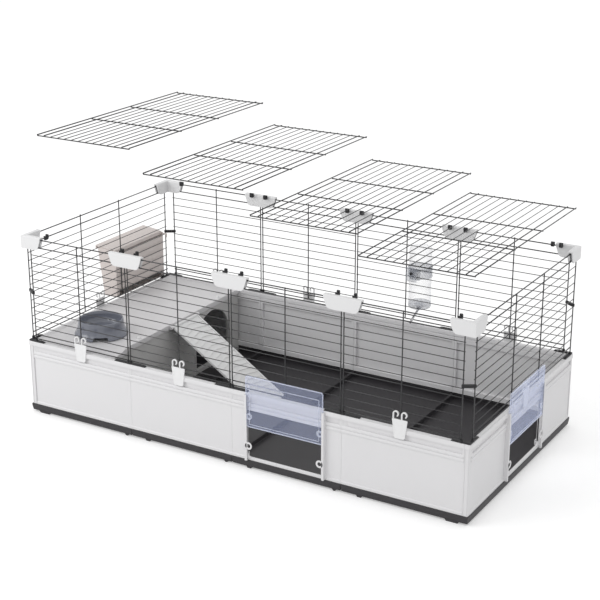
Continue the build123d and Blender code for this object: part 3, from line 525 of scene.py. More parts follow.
wire_coating, tree, shader = new_material("black_wire_coating")
shader.inputs["Base Color"].default_value = (0.022, 0.022, 0.024, 1)
drips = noise(tree, 600, 3)
spread(tree, drips, 0.24, 0.4, shader.inputs["Roughness"])
relief(tree, shader, drips, 0.3, 0.03)


def wire_panel(name, side, uprights, node):
    bm = bmesh.new()
    first = uprights[0] - WIRE_END
    last = uprights[-1] + WIRE_END
    for number in range(ROWS):
        gauge = THICK if number in (0, 1, ROWS - 1) else THIN
        z = TOP_ROW - ROW_PITCH * number
        inset = WELD_IN + gauge / 2 - SUNK
        wire(bm, beside(side, first, inset, z), beside(side, last, inset, z), gauge)
    low_in = WELD_IN + THICK / 2 - SUNK
    wire(bm, beside(side, first, low_in, FOOT_ROW), beside(side, last, low_in, FOOT_ROW), THICK)
    for place in uprights:
        inset = WELD_IN - THICK / 2
        wire(bm, beside(side, place, inset, WIRE_FOOT), beside(side, place, inset, WIRE_HEAD), THICK)
    return settle(name, bm, "cage", wire_coating, [node], 0, crease=50)


wire_edges = (-EDGE_WIRE - PAIR_GAP, -PITCH, 0.0, PITCH, EDGE_WIRE + PAIR_GAP)
for index in range(MODULES):
    first = wire_edges[index] + PAIR_GAP
    last = wire_edges[index + 1] - PAIR_GAP
    centre = PITCH * (index + (1 - MODULES) / 2)
    wire_panel(f"front_wires_{index + 1}", "front", (first, centre, last), f"front_wire_{index + 1}")
    wire_panel(f"back_wires_{index + 1}", "back", (-last, -centre, -first), f"back_wire_{index + 1}")
wire_panel("left_wires", "left", SIDE_UPRIGHTS, "left_wire")
wire_panel("right_wires", "right", SIDE_UPRIGHTS, "right_wire")

# Roof panels: drawn steel wires welded across four thicker ones and coated black, like the wire panels.
# Their end wires snap into the roof hooks, and each panel lifts off by itself.
ROOF_BAR_PITCH = 24.5
ROOF_BARS = 14
ROOF_REACH = 160.0
ROOF_EDGE = 340.0
ROOF_CROSS = 95.0
for index in range(MODULES):
    node = f"roof_panel_{index + 1}"
    low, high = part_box(node)
    middle = ((low[0] + high[0]) / 2 - MID_X) / MM
    z = low[2] / MM + THICK / 2
    bm = bmesh.new()
    for y in (-ROOF_EDGE, -ROOF_CROSS, ROOF_CROSS, ROOF_EDGE):
        wire(bm, at(middle - ROOF_REACH, y, z), at(middle + ROOF_REACH, y, z), THICK)
    for number in range(ROOF_BARS):
        x = middle + ROOF_BAR_PITCH * (number - (ROOF_BARS - 1) / 2)
        gauge = THICK if number in (0, 1, ROOF_BARS - 2, ROOF_BARS - 1) else THIN
        top = z + (THICK + gauge) / 2 - SUNK
        wire(bm, at(x, -ROOF_EDGE - THICK / 2, top), at(x, ROOF_EDGE + THICK / 2, top), gauge)
    settle(f"roof_wires_{index + 1}", bm, node, wire_coating, [node], 0, crease=50)

# Lift doors: clear injection-moulded panes with a thicker border and a lock ring near each lower
# corner. They slide in the guides beside each doorway and lift out by hand.
DOOR_HEIGHT = 150.0
DOOR_BOTTOM = 128.0
DOOR_SKIN = 1.6
DOOR_SIDE_BORDER = 11.0
DOOR_TOP_BORDER = 22.0
DOOR_LOW_BORDER = 8.0
DOOR_RING_X = 110.0
DOOR_RING_Z = 31.0


def clear_plastic(name, colour, flat, edge, roughness):
    """Thin clear plastic: its colour covers more where a sheet is seen along its face."""
    material, tree, shader = new_material(name)
    shader.inputs["Base Color"].default_value = (*colour, 1)
    weight = tree.nodes.new("ShaderNodeLayerWeight")
    weight.inputs["Blend"].default_value = 0.3
    spread(tree, weight.outputs["Facing"], flat, edge, shader.inputs["Alpha"])
    flow = noise(tree, 18)
    spread(tree, flow, roughness * 0.6, roughness * 1.4, shader.inputs["Roughness"])
    relief(tree, shader, flow, 0.1, 1)
    return material


door_plastic = clear_plastic("clear_blue_pane", (0.60, 0.68, 0.98), 0.065, 0.5, 0.1)
# The pane's edges, raised lines, lock rings and reliefs are the same clear plastic, drawn paler and more
# opaque than the sheet: a painted highlight where these edges catch the light.
door_edge_highlight_plastic = clear_plastic("clear_blue_edge_painted_highlight", (0.84, 0.88, 1.0), 0.32, 0.6, 0.15)


def rounded(low_a, high_a, low_z, high_z, radius, steps=5):
    """Outline of a rectangle with rounded corners."""
    line = []
    middles = rectangle(low_a + radius, high_a - radius, low_z + radius, high_z - radius)
    for number, middle in enumerate(middles):
        line += arc(middle, radius, 180 + 90 * number, 270 + 90 * number, steps)
    return line


def drawn_in(box, by):
    """The sides of a rectangle made smaller all round."""
    low_a, high_a, low_z, high_z = box
    return (low_a + by, high_a - by, low_z + by, high_z - by)


def strip(bm, side, box, width, radius, inner, outer):
    """A narrow raised line round a rounded rectangle."""
    outside = rounded(*box, radius)
    inside = rounded(*drawn_in(box, width), radius - width)
    rings = ((outside, inner), (outside, outer), (inside, outer), (inside, inner))
    skin(bm, [parallel(side, inset, line) for line, inset in rings], False, True)


def lift_door(name, side, centre, node, reliefs):
    half = DOOR_WIDTH / 2
    top = DOOR_BOTTOM + DOOR_HEIGHT
    back = -DOOR_GAP
    front = back - DOOR_THICK
    sheet_front = back - DOOR_SKIN
    outer = (centre - half, centre + half, DOOR_BOTTOM, top)
    window = (
        centre - half + DOOR_SIDE_BORDER,
        centre + half - DOOR_SIDE_BORDER,
        DOOR_BOTTOM + DOOR_LOW_BORDER,
        top - DOOR_TOP_BORDER,
    )
    bm = bmesh.new()
    rings = (
        (rounded(*outer, 6), back),
        (rounded(*outer, 6), front + 0.5),
        (rounded(*drawn_in(outer, 0.5), 5.5), front),
        (rounded(*window, 4), front),
        (rounded(*drawn_in(window, 0.8), 3.2), sheet_front),
    )
    skin(bm, [parallel(side, inset, line) for line, inset in rings])
    settle(name, bm, node, door_plastic, [node], 0)
    bm = bmesh.new()
    strip(bm, side, outer, 2.0, 6, back + 0.1, front - 0.1)
    strip(bm, side, window, 1.6, 4, sheet_front, front - 0.1)
    for hand in (-1, 1):
        place = centre + hand * DOOR_RING_X
        ring(bm, side, place, DOOR_BOTTOM + DOOR_RING_Z, back, front - 0.2, RING, RING_HOLE)
    for low_a, high_a, low_z, high_z in reliefs:
        edge = rectangle(centre + low_a, centre + high_a, low_z, high_z)
        slab(bm, side, sheet_front + 0.1, sheet_front - 0.7, edge)
    # The edge pieces carry the paler, painted highlight of the clear plastic.
    settle(name + "_edges", bm, node, door_edge_highlight_plastic, [], 0.2, 1)


# Fine raised lines on the side pane: the ends of each along the pane, then its heights.
LATCH_RELIEF = (
    (-92.0, -90.0, 196.0, 242.0),
    (-92.0, -26.0, 240.0, 242.0),
    (-28.0, -26.0, 196.0, 242.0),
    (66.0, 92.0, 230.0, 232.0),
    (66.0, 92.0, 244.0, 246.0),
    (66.0, 68.0, 230.0, 246.0),
    (90.0, 92.0, 230.0, 246.0),
)
lift_door("front_lift_door", "front", FRONT_DOOR_X, "front_door", ())
lift_door("side_lift_door", "right", SIDE_DOOR_Y, "side_door", LATCH_RELIEF)

# Caps: white saddles pushed over the heads of two neighbouring wire panels, moulded hollow from below
# and drawn in towards their foot. Those at the corners are angles.
CAP_TOP = 552.0
CAP_BOTTOM = 514.0
CAP_OUT = -1.0
CAP_IN = 14.5
CAP_SLOT_OUT = 2.5
CAP_SLOT_IN = 9.0
CAP_REACH = 55.0
CAP_ARM = 69.0
JOINTS = (-PITCH, 0.0, PITCH)
CAP_TAPER = ((0.0, 33.0), (0.8, 29.0), (7.5, 10.0), (9.5, 5.8), (12.5, 2.4), (16.5, 0.6), (21.0, 0.0))
cap_plastic = moulded("white_cap_plastic", (0.73, 0.73, 0.735), 0.38, grain=0.7, depth=0.012, drift=0.01)


def by_joint(side, joint):
    """Places along a wall, counted from a joint."""
    return lambda along, inset, z: beside(side, joint + along, inset, z)


def round_corner(hand_x, hand_y):
    """Places round a corner: negative along the long side, positive along the end."""
    def place(along, inset, z):
        x = LENGTH / 2 + along if along < 0 else LENGTH / 2 - inset
        y = DEPTH / 2 - along if along > 0 else DEPTH / 2 - inset
        return at(hand_x * x, hand_y * y, z)
    return place


def both_ends(reach, taper):
    """Stations from one end of a piece to the other, each with its taper."""
    start = [(run - reach, rise) for run, rise in taper]
    return start + [(0.0, 0.0)] + [(-along, rise) for along, rise in reversed(start)]


def saddle(rise):
    foot = CAP_BOTTOM + rise
    ceiling = max(WIRE_HEAD, foot + 0.5)
    return (
        (CAP_OUT, foot), (CAP_OUT, CAP_TOP - 3), (CAP_OUT + 0.9, CAP_TOP - 0.9), (CAP_OUT + 3, CAP_TOP),
        (CAP_IN - 3, CAP_TOP), (CAP_IN - 0.9, CAP_TOP - 0.9), (CAP_IN, CAP_TOP - 3), (CAP_IN, foot),
        (CAP_SLOT_IN, foot), (CAP_SLOT_IN, ceiling), (CAP_SLOT_OUT, ceiling), (CAP_SLOT_OUT, foot),
    )


def sweep(bm, place, reach, taper, outline):
    """A strip with one outline, its foot or head drawn in towards both ends by a taper."""
    stations = both_ends(reach, taper)
    skin(bm, [[place(along, inset, z) for inset, z in outline(rise)] for along, rise in stations])


bm = bmesh.new()
for side in ("front", "back"):
    for joint in JOINTS:
        sweep(bm, by_joint(side, joint), CAP_REACH, CAP_TAPER, saddle)
settle("joint_saddles", bm, "cage", cap_plastic, ["joint_caps"], 0.7, 2, 40)
bm = bmesh.new()
for hand_x, hand_y in CORNERS:
    sweep(bm, round_corner(hand_x, hand_y), CAP_ARM, CAP_TAPER, saddle)
settle("corner_saddles", bm, "cage", cap_plastic, ["corner_caps"], 0.9, 2, 40)

# Roof hooks: black nylon catches on the inner side of the caps, open upward, where the end wires of
# the roof panels snap in.
HOOK = 7.5
HOOK_TOP = 559.5
HOOK_BOTTOM = 544.0
HOOK_IN = 29.5
HOOK_SEAT = 550.2
SEAT_IN = 20.0
SLOT_HALF = 2.7
JOINT_HOOK = 25.0
CORNER_HOOKS = {"front": (-637.0, 661.5), "back": (-637.0, -661.5, 637.0)}
black_plastic = moulded("black_fitting_plastic", (0.02, 0.02, 0.022), 0.48, grain=0.8, sheen=0.3)
prong = (HOOK_IN - SEAT_IN - SLOT_HALF) / 2
thumb = (SEAT_IN - SLOT_HALF - CAP_IN) / 2
hook_outline = (
    [(CAP_IN, HOOK_BOTTOM)]
    + arc((HOOK_IN - 6, HOOK_BOTTOM + 6), 6, -90, 0, 6)
    + arc((HOOK_IN - prong, HOOK_TOP - prong), prong, 0, 180, 8)
    + arc((SEAT_IN, HOOK_SEAT + SLOT_HALF), SLOT_HALF, 0, -180, 6)
    + arc((CAP_IN + thumb, HOOK_TOP - 3 - thumb), thumb, 0, 180, 4)
)
hook_places = [joint + hand * JOINT_HOOK for joint in JOINTS for hand in (-1, 1)]
bm = bmesh.new()
for side in ("front", "back"):
    for place in hook_places + list(CORNER_HOOKS[side]):
        bar(bm, side, place - HOOK / 2, place + HOOK / 2, hook_outline)
settle("roof_catches", bm, "cage", black_plastic, ["roof_hooks"], 1.0, 3)

# Feet: black strips that press on to the rim, with a sleeve for the foot of each edge wire. The ones at
# the corners are angles.
FOOT_OUT = 3.0
FOOT_IN = 12.0
FOOT_TOP = 231.0
FOOT_REACH_JOINT = 53.5
FOOT_ARM = 57.0
FOOT_TAPER = ((0.0, 3.4), (1.5, 1.6), (6.0, 0.4), (12.0, 0.0))
SLEEVE = 4.2


def foot_strip(drop):
    top = FOOT_TOP - drop
    return (
        (FOOT_OUT, WALL_TOP - 0.4), (FOOT_OUT, top - 1.2), (FOOT_OUT + 1.2, top),
        (FOOT_IN - 1.2, top), (FOOT_IN, top - 1.2), (FOOT_IN, WALL_TOP - 0.4),
    )


def lathe(bm, x, y, profile, steps=40, capped=True, looped=False):
    """A turned shape round an upright line, from its (radius, height) points."""
    skin(bm, [[at(u, v, z) for u, v in circle((x, y), r, steps)] for r, z in profile], capped, looped)


sleeve_profile = (
    (SLEEVE, FOOT_TOP - 1), (SLEEVE, WIRE_FOOT - 1.2), (SLEEVE - 1, WIRE_FOOT), (1.0, WIRE_FOOT),
)
wire_line = DEPTH / 2 - WELD_IN + THICK / 2
end_line = LENGTH / 2 - WELD_IN + THICK / 2
bm = bmesh.new()
for side, hand_y in (("front", -1), ("back", 1)):
    for joint in JOINTS:
        sweep(bm, by_joint(side, joint), FOOT_REACH_JOINT, FOOT_TAPER, foot_strip)
        for hand in (-1, 1):
            lathe(bm, joint + hand * PAIR_GAP, hand_y * wire_line, sleeve_profile, 20)
settle("joint_strips", bm, "cage", black_plastic, ["joint_feet"], 0.4)
bm = bmesh.new()
for hand_x, hand_y in CORNERS:
    sweep(bm, round_corner(hand_x, hand_y), FOOT_ARM, FOOT_TAPER, foot_strip)
    lathe(bm, hand_x * EDGE_WIRE, hand_y * wire_line, sleeve_profile, 20)
    lathe(bm, hand_x * end_line, hand_y * SIDE_UPRIGHTS[-1], sleeve_profile, 20)
settle("corner_strips", bm, "cage", black_plastic, ["corner_feet"], 0.4)

# Corner links: small black clips moulded in nylon, half way up the wire panels. Each snaps over the two
# edge wires of a corner and ties them together.
LINK_BOTTOM = 375.5
LINK_TOP = 383.5
LINK_RADIUS = 4.2
bm = bmesh.new()
for hand_x, hand_y in CORNERS:
    long_end = Vector((hand_x * EDGE_WIRE, hand_y * wire_line))
    short_end = Vector((hand_x * end_line, hand_y * SIDE_UPRIGHTS[-1]))
    way = math.degrees(math.atan2(short_end.y - long_end.y, short_end.x - long_end.x))
    link = arc(short_end, LINK_RADIUS, way - 90, way + 90, 10)
    link += arc(long_end, LINK_RADIUS, way + 90, way + 270, 10)
    skin(bm, [[at(x, y, z) for x, y in link] for z in (LINK_BOTTOM, LINK_TOP)])
settle("corner_links", bm, "cage", black_plastic, ["corner_clips"], 1.0, 3)

# Wall clips: springy white nylon plates that grip the rim from outside and curl two fingers over a
# wire to hold the panel down.
CLIP_HALF = 22.0
CLIP_TOE = 16.0
CLIP_HEAD = 253.0
CLIP_LOW = 199.0
CLIP_BACK = -0.1
CLIP_FRONT = -1.6
CURL_MIDDLE = 12.0
CURL_Z = 266.5
CURL_OUTER = 8.6
CURL_INNER = 5.4
CLIP_RAISED = 0.3
PAD_HALF = 8.0
PAD_LOW = 219.0
PAD_HIGH = 239.0
TAIL_IN = 2.7
WALL_CLIPS = {
    "front": (-1.5 * PITCH, -0.5 * PITCH, 1.5 * PITCH),
    "back": (-1.5 * PITCH, 0.5 * PITCH, 1.5 * PITCH),
    "left": (12.0,),
    "right": (-5.0,),
}
clip_plastic = moulded("white_clip_nylon", (0.78, 0.78, 0.785), 0.34, grain=0.7, depth=0.012, drift=0.01)
bm = bmesh.new()
for side, places in WALL_CLIPS.items():
    for place in places:
        plate = (
            arc((place + CLIP_HALF - 2, CLIP_HEAD - 2), 2, 0, 90, 3)
            + arc((place - CLIP_HALF + 2, CLIP_HEAD - 2), 2, 90, 180, 3)
            + arc((place - CLIP_TOE + 6, CLIP_LOW + 6), 6, 190, 270, 5)
            + arc((place + CLIP_TOE - 6, CLIP_LOW + 6), 6, 270, 350, 5)
        )
        slab(bm, side, CLIP_BACK, CLIP_FRONT, plate)
        raised = (CLIP_FRONT + 0.2, CLIP_FRONT - CLIP_RAISED)
        slab(bm, side, *raised, rounded(place - PAD_HALF, place + PAD_HALF, PAD_LOW, PAD_HIGH, 3))
        for hand in (-1, 1):
            rib = place + hand * (CLIP_HALF - 3)
            foot = rib - hand * 4
            slab(bm, side, *raised, (
                (rib - 1, CLIP_HEAD - 2), (foot - 1, CLIP_LOW + 12),
                (foot + 1, CLIP_LOW + 12), (rib + 1, CLIP_HEAD - 2),
            ))
            curl = (place + hand * CURL_MIDDLE, CURL_Z)
            finger = (
                [(curl[0] - CURL_OUTER, CLIP_HEAD - 1)]
                + arc(curl, CURL_OUTER, 180, -60, 16)
                + arc(curl, CURL_INNER, -60, 180, 14)
                + [(curl[0] - CURL_INNER, CLIP_HEAD - 1)]
            )
            slab(bm, side, WELD_IN - THICK - 0.3, CLIP_FRONT, finger)
        tail = rectangle(CLIP_BACK - 0.1, TAIL_IN, WALL_TOP + 0.2, WALL_TOP + 3)
        bar(bm, side, place - CLIP_HALF + 1, place + CLIP_HALF - 1, tail)
settle("rim_clips", bm, "cage", clip_plastic, ["wall_clips"], 0.5)

# Shelf: the den's roof, a pale grey vacuum-formed tray that drops into the left end with its lip on the
# rim. Its free edge has two lugs for the ramp's pin and two pegs.
SHELF_TOP = 228.0
SHELF_BOTTOM = 212.0
SHELF_EDGE = -424.0
SHELF_FLARE = -405.0
FLARE_START = -240.0
SHELF_HALF = 343.8
PIN_X = -416.0
PIN_Z = 220.0
PIN_RADIUS = 2.0
BARREL_RADIUS = 5.0
RAMP_Y = 25.0
RAMP_WIDTH = 130.0
LUG = 5.0
lug_places = (RAMP_Y - RAMP_WIDTH / 2 - LUG, RAMP_Y + RAMP_WIDTH / 2 + LUG)
PEG_PLACES = (-190.0, 231.0)
shelf_plastic = moulded(
    "pale_grey_shelf_plastic", (0.66, 0.65, 0.66), 0.45, grain=1.1, depth=0.03, drift=0.02,
)


def shelf_line(margin, lip, z):
    """Plan of the shelf, drawn in by a margin; its free edge flares in a soft curve at the front."""
    left = -LENGTH / 2 + (RIM_IN - 2 if lip else RIM_IN + 0.2) + margin
    half = (DEPTH / 2 - RIM_IN + 2 if lip else SHELF_HALF) - margin
    line = []
    for step in range(11):
        t = step / 10
        blend = t * t * (3 - 2 * t)
        x = SHELF_FLARE + (SHELF_EDGE - SHELF_FLARE) * blend - margin
        line.append(at(x, -half + (FLARE_START + half) * t, z))
    return line + [at(SHELF_EDGE - margin, half, z), at(left, half, z), at(left, -half, z)]


bm = bmesh.new()
skin(bm, (
    shelf_line(1.5, False, SHELF_BOTTOM),
    shelf_line(0, False, SHELF_BOTTOM + 1.5),
    shelf_line(0, False, WALL_TOP + 0.1),
    shelf_line(0, True, WALL_TOP + 0.1),
    shelf_line(0, True, SHELF_TOP - 0.6),
    shelf_line(0.8, True, SHELF_TOP),
    shelf_line(11, True, SHELF_TOP),
    shelf_line(13, True, SHELF_TOP - 1.6),
))
for place in lug_places:
    lug = [(SHELF_EDGE - 1, PIN_Z + BARREL_RADIUS)] + arc((PIN_X, PIN_Z), BARREL_RADIUS, 90, -90, 12)
    lug.append((SHELF_EDGE - 1, PIN_Z - BARREL_RADIUS))
    skin(bm, [[at(x, place + reach, z) for x, z in lug] for reach in (-LUG / 2, LUG / 2)])
settle("den_shelf", bm, "cage", shelf_plastic, ["shelf"], 0.5, 2, 35)
bm = bmesh.new()
for place in PEG_PLACES:
    lathe(bm, SHELF_EDGE - 10, place, (
        (6.0, SHELF_TOP - 2), (6.0, SHELF_TOP + 0.6), (5.0, SHELF_TOP + 1), (4.9, SHELF_TOP + 6),
        (4.2, SHELF_TOP + 7.4), (2.6, SHELF_TOP + 8), (2.0, SHELF_TOP + 6.8),
    ), 28)
settle("shelf_studs", bm, "cage", clip_plastic, ["shelf_pegs"], 0.2)

# Partition: the den's inner wall, a mid grey moulding that stands in the tray under the shelf. Its
# arched doorway has a raised rim on both faces.
PARTITION = 6.0
PARTITION_X = -436.0
ARCH_RADIUS = 93.0
ARCH_TOP = 200.0
ARCH_Y = 191.0
ARCH_SILL = 28.0
ARCH_RIM = 7.0
partition_plastic = moulded(
    "mid_grey_partition_plastic", (0.54, 0.535, 0.53), 0.5, grain=1.1, depth=0.03, drift=0.03,
)


def arch(growth):
    """The doorway's outline, wider by a growth."""
    radius = ARCH_RADIUS + growth
    foot = ARCH_SILL - growth
    head = arc((ARCH_Y, ARCH_TOP - ARCH_RADIUS), radius, 0, 180, 36)
    return [(ARCH_Y - radius, foot), (ARCH_Y + radius, foot)] + head


def across(x, outline):
    return [at(x, y, z) for y, z in outline]


bm = bmesh.new()
panel_line = rectangle(-SHELF_HALF, SHELF_HALF, TRAY_FLOOR + 0.2, SHELF_BOTTOM)
skin(bm, [across(x, panel_line) for x in (PARTITION_X, PARTITION_X + PARTITION)])
den_wall = settle("den_wall", bm, "cage", partition_plastic, ["shelf_partition"], 0)
carve(den_wall, [across(x, arch(0)) for x in (PARTITION_X - PARTITION, PARTITION_X + 2 * PARTITION)])
soften(den_wall, 0.8, 2)
bm = bmesh.new()
for face, step in ((PARTITION_X, -2.2), (PARTITION_X + PARTITION, 2.2)):
    skin(bm, (
        across(face - step / 4, arch(ARCH_RIM)), across(face + step * 0.8, arch(ARCH_RIM - 0.5)),
        across(face + step, arch(ARCH_RIM - 1.5)), across(face + step, arch(1.2)),
        across(face + step * 0.8, arch(0.2)), across(face - step / 4, arch(0.1)),
    ), False, True)
settle("den_doorway_rim", bm, "cage", partition_plastic, [], 0, crease=50)

# Ramp: a pale grey moulded board with a rail along each side and raised chevrons for grip. It turns on a
# steel pin between the shelf's lugs, and its foot rests on the tray.
RAMP_FOOT_X = -102.0
RAMP_FOOT_Z = 15.7
RAIL = 5.0
RIDGE = 3.0
BOARD = 4.0
CHEVRONS = 18
CHEVRON_START = 14.0
CHEVRON_MARGINS = 44.0
ramp_slope = math.atan2(PIN_Z - RAMP_FOOT_Z, RAMP_FOOT_X - PIN_X)
ramp_length = math.hypot(PIN_Z - RAMP_FOOT_Z, RAMP_FOOT_X - PIN_X)
ramp_plastic = moulded(
    "pale_grey_ramp_plastic", (0.74, 0.74, 0.74), 0.45, grain=1.1, depth=0.03, drift=0.02,
)


def on_ramp(along, side_way, up):
    x = PIN_X + along * math.cos(ramp_slope) + up * math.sin(ramp_slope)
    z = PIN_Z - along * math.sin(ramp_slope) + up * math.cos(ramp_slope)
    return at(x, RAMP_Y + side_way, z)


def ramp_shape(bm, outline, low, high):
    skin(bm, [[on_ramp(along, side_way, up) for along, side_way in outline] for up in (low, high)])


def spindle(bm, x, z, profile, steps):
    """A turned shape round a level line from front to back, from its (radius, y) points."""
    skin(bm, [[at(u, y, v) for u, v in circle((x, z), r, steps)] for r, y in profile])


half = RAMP_WIDTH / 2
bm = bmesh.new()
ramp_shape(bm, rectangle(0, ramp_length, -half, half), -BOARD, 0)
for hand in (-1, 1):
    edges = sorted((hand * half, hand * (half - RAIL)))
    ramp_shape(bm, rectangle(1, ramp_length - 1, *edges), -0.5, RIDGE)
reach = half - RAIL + 0.5
for number in range(CHEVRONS):
    start = CHEVRON_START + (ramp_length - CHEVRON_MARGINS) * number / (CHEVRONS - 1)
    ramp_shape(bm, (
        (start + 12, -reach), (start + 15, -reach), (start + 3, 0),
        (start + 15, reach), (start + 12, reach), (start, 0),
    ), -0.5, RIDGE - 1)
barrel_ends = (lug_places[0] + LUG / 2 + 0.4, lug_places[1] - LUG / 2 - 0.4)
spindle(bm, PIN_X, PIN_Z, [(BARREL_RADIUS, y) for y in barrel_ends], 24)
settle("ramp_board", bm, "ramp", ramp_plastic, ["ramp"], 0.6)


steel_finish, tree, shader = new_material("drawn_steel")
shader.inputs["Base Color"].default_value = (0.62, 0.62, 0.63, 1)
shader.inputs["Metallic"].default_value = 1
spread(tree, noise(tree, 900), 0.18, 0.34, shader.inputs["Roughness"])
bm = bmesh.new()
spindle(bm, PIN_X, PIN_Z, (
    (PIN_RADIUS - 0.8, lug_places[0] - 3.2), (PIN_RADIUS, lug_places[0] - 2.7),
    (PIN_RADIUS, lug_places[1] + 2.7), (PIN_RADIUS - 0.8, lug_places[1] + 3.2),
), 20)
settle("ramp_hinge_pin", bm, "cage", steel_finish, ["ramp_pin"], 0)

# Feeder bowl: a heavy glossy slate-blue bowl, moulded hollow from below with a wide foot so that it can't
# be tipped. A notch in the front of the foot is there to lift it by.
BOWL_X = -560.0
BOWL_Y = -205.0
bowl_profile = (
    (20.0, 11.0), (54.0, 11.4), (62.0, 12.4), (67.0, 11.4), (72.6, 7.4), (74.6, 3.0), (75.0, 0.2),
    (78.0, 0.2), (79.2, 1.4), (79.0, 4.5), (76.8, 9.5), (72.8, 15.0), (70.2, 21.0), (68.8, 29.0),
    (68.2, 38.0), (67.6, 44.0), (66.0, 47.6), (63.4, 48.4), (61.4, 45.6), (60.6, 38.0), (59.4, 30.0),
    (56.4, 21.0), (50.0, 16.0), (40.0, 14.4), (20.0, 14.0),
)
bowl_plastic = moulded("slate_bowl_plastic", (0.155, 0.165, 0.20), 0.15, grain=1.0, depth=0.006, sheen=0.8)
bm = bmesh.new()
lathe(bm, BOWL_X, BOWL_Y, [(radius, SHELF_TOP + z) for radius, z in bowl_profile], 96)
bowl = settle("slate_bowl", bm, "feeder_bowl", bowl_plastic, ["feeder_bowl"], 0)
NOTCH = 24.0
NOTCH_TURN = math.radians(36)
notch_line = ((-NOTCH, -1), (NOTCH, -1), (NOTCH - 3, 10), (NOTCH - 6, 12), (6 - NOTCH, 12), (3 - NOTCH, 10))
notch_cut = []
for reach in (100, 60):
    notch_cut.append([
        at(
            BOWL_X + x * math.cos(NOTCH_TURN) + reach * math.sin(NOTCH_TURN),
            BOWL_Y + x * math.sin(NOTCH_TURN) - reach * math.cos(NOTCH_TURN),
            SHELF_TOP + z,
        )
        for x, z in notch_line
    ])
carve(bowl, notch_cut)
soften(bowl, 0.5, 2, 40)

# Drinking bottle: a straight clear bottle hung upside down behind the back wires. A smoky clear clamp holds
# it, screwed to a plate on the inner side of the wires, and its broad cap carries a bent steel tube.
BOTTLE_X = 200.0
BOTTLE_Y = 394.0
BOTTLE_FOOT = 274.0
BOTTLE_TOP = 458.0
BOTTLE_RADIUS = 34.8
GROOVE_Z = 332.0
CAP_LOW = 264.0
CAP_HIGH = 278.0
CAP_GRIP = 34.8
KNURLS = 48
CLAMP_LOW = 364.0
CLAMP_HIGH = 396.0
SCREW_X = BOTTLE_X - 8
SCREW_Z = 384.0
# The clamp's blocks, each by its two corners: the neck of the band, the plate inside and the boss.
CLAMP_BLOCKS = (
    ((BOTTLE_X - 16, 354.4, 362), (BOTTLE_X + 16, 360.0, 398)),
    ((BOTTLE_X - 26, 345.2, 358), (BOTTLE_X + 10, 348.4, 402)),
    ((BOTTLE_X - 14, 348, 376), (BOTTLE_X - 2, 354.8, 392)),
)
bottle_profile = (
    (8, BOTTLE_FOOT), (31, BOTTLE_FOOT), (34, BOTTLE_FOOT + 3), (BOTTLE_RADIUS, BOTTLE_FOOT + 7),
    (BOTTLE_RADIUS, GROOVE_Z - 2), (34.2, GROOVE_Z), (BOTTLE_RADIUS, GROOVE_Z + 2),
    (BOTTLE_RADIUS, 450), (34.2, 454), (32.6, 456.6), (29.6, BOTTLE_TOP), (26, 457.6), (8, 456.8),
)
bottle_plastic = clear_plastic("clear_bottle_plastic", (0.78, 0.78, 0.82), 0.07, 0.6, 0.06)
clamp_plastic = clear_plastic("smoke_clamp_plastic", (0.46, 0.48, 0.53), 0.28, 0.75, 0.14)
bm = bmesh.new()
lathe(bm, BOTTLE_X, BOTTLE_Y, bottle_profile, 64)
settle("water_bottle", bm, "cage", bottle_plastic, ["bottle"], 0, crease=60)
bm = bmesh.new()
axis = (BOTTLE_X, BOTTLE_Y)
rings = []
for radius, depth, z in (
    (10, 0, CAP_LOW), (29, 0, CAP_LOW), (33, 0.5, CAP_LOW + 2), (CAP_GRIP, 1, CAP_LOW + 6),
    (CAP_GRIP, 1, CAP_HIGH), (33.6, 0, CAP_HIGH + 2), (30, 0, CAP_HIGH + 2),
):
    line = circle(axis, radius, 2 * KNURLS)
    line[1::2] = circle(axis, radius - depth, 2 * KNURLS)[1::2]
    rings.append([at(x, y, z) for x, y in line])
skin(bm, rings)
lathe(bm, BOTTLE_X, BOTTLE_Y, ((9, CAP_LOW - 2), (12, CAP_LOW + 3), (12, CAP_LOW + 12)), 32)
settle("bottle_screw_cap", bm, "cage", clamp_plastic, ["bottle_cap"], 0, crease=25)
bm = bmesh.new()
lathe(bm, BOTTLE_X, BOTTLE_Y, (
    (35.2, CLAMP_LOW), (37, CLAMP_LOW), (38, CLAMP_LOW + 1), (38, CLAMP_LOW + 4), (37, CLAMP_LOW + 5),
    (37, CLAMP_HIGH - 5), (38, CLAMP_HIGH - 4), (38, CLAMP_HIGH - 1), (37, CLAMP_HIGH), (35.2, CLAMP_HIGH),
), 64, False, True)
for start, end in CLAMP_BLOCKS:
    block(bm, start, end)
settle("bottle_clamp", bm, "cage", clamp_plastic, ["bottle_holder"], 1.0)
bm = bmesh.new()
spindle(bm, SCREW_X, SCREW_Z, ((2.0, 342.2), (3.6, 342.6), (4.2, 343.6), (4.2, 345.4)), 64)
settle("clamp_screw", bm, "cage", black_plastic, [], 0.2)
TUBE_RADIUS = 4.0
knee = (
    (394.0, 266.0), (394.0, 265.4), (393.4, 263.8), (391.4, 261.4),
    (388.2, 259.0), (384.0, 256.8), (338.0, 234.8), (332.0, 232.0),
)
rings = []
for number, (y, z) in enumerate(knee):
    before = knee[max(number - 1, 0)]
    after = knee[min(number + 1, len(knee) - 1)]
    way = Vector((after[0] - before[0], after[1] - before[1])).normalized()
    radius = 3.0 if number == len(knee) - 1 else TUBE_RADIUS
    line = circle((0, 0), radius, 24)
    rings.append([at(BOTTLE_X + u, y - v * way.y, z + v * way.x) for u, v in line])
bm = bmesh.new()
skin(bm, rings)
settle("steel_drinking_tube", bm, "cage", steel_finish, ["drinking_tube"], 0, crease=60)

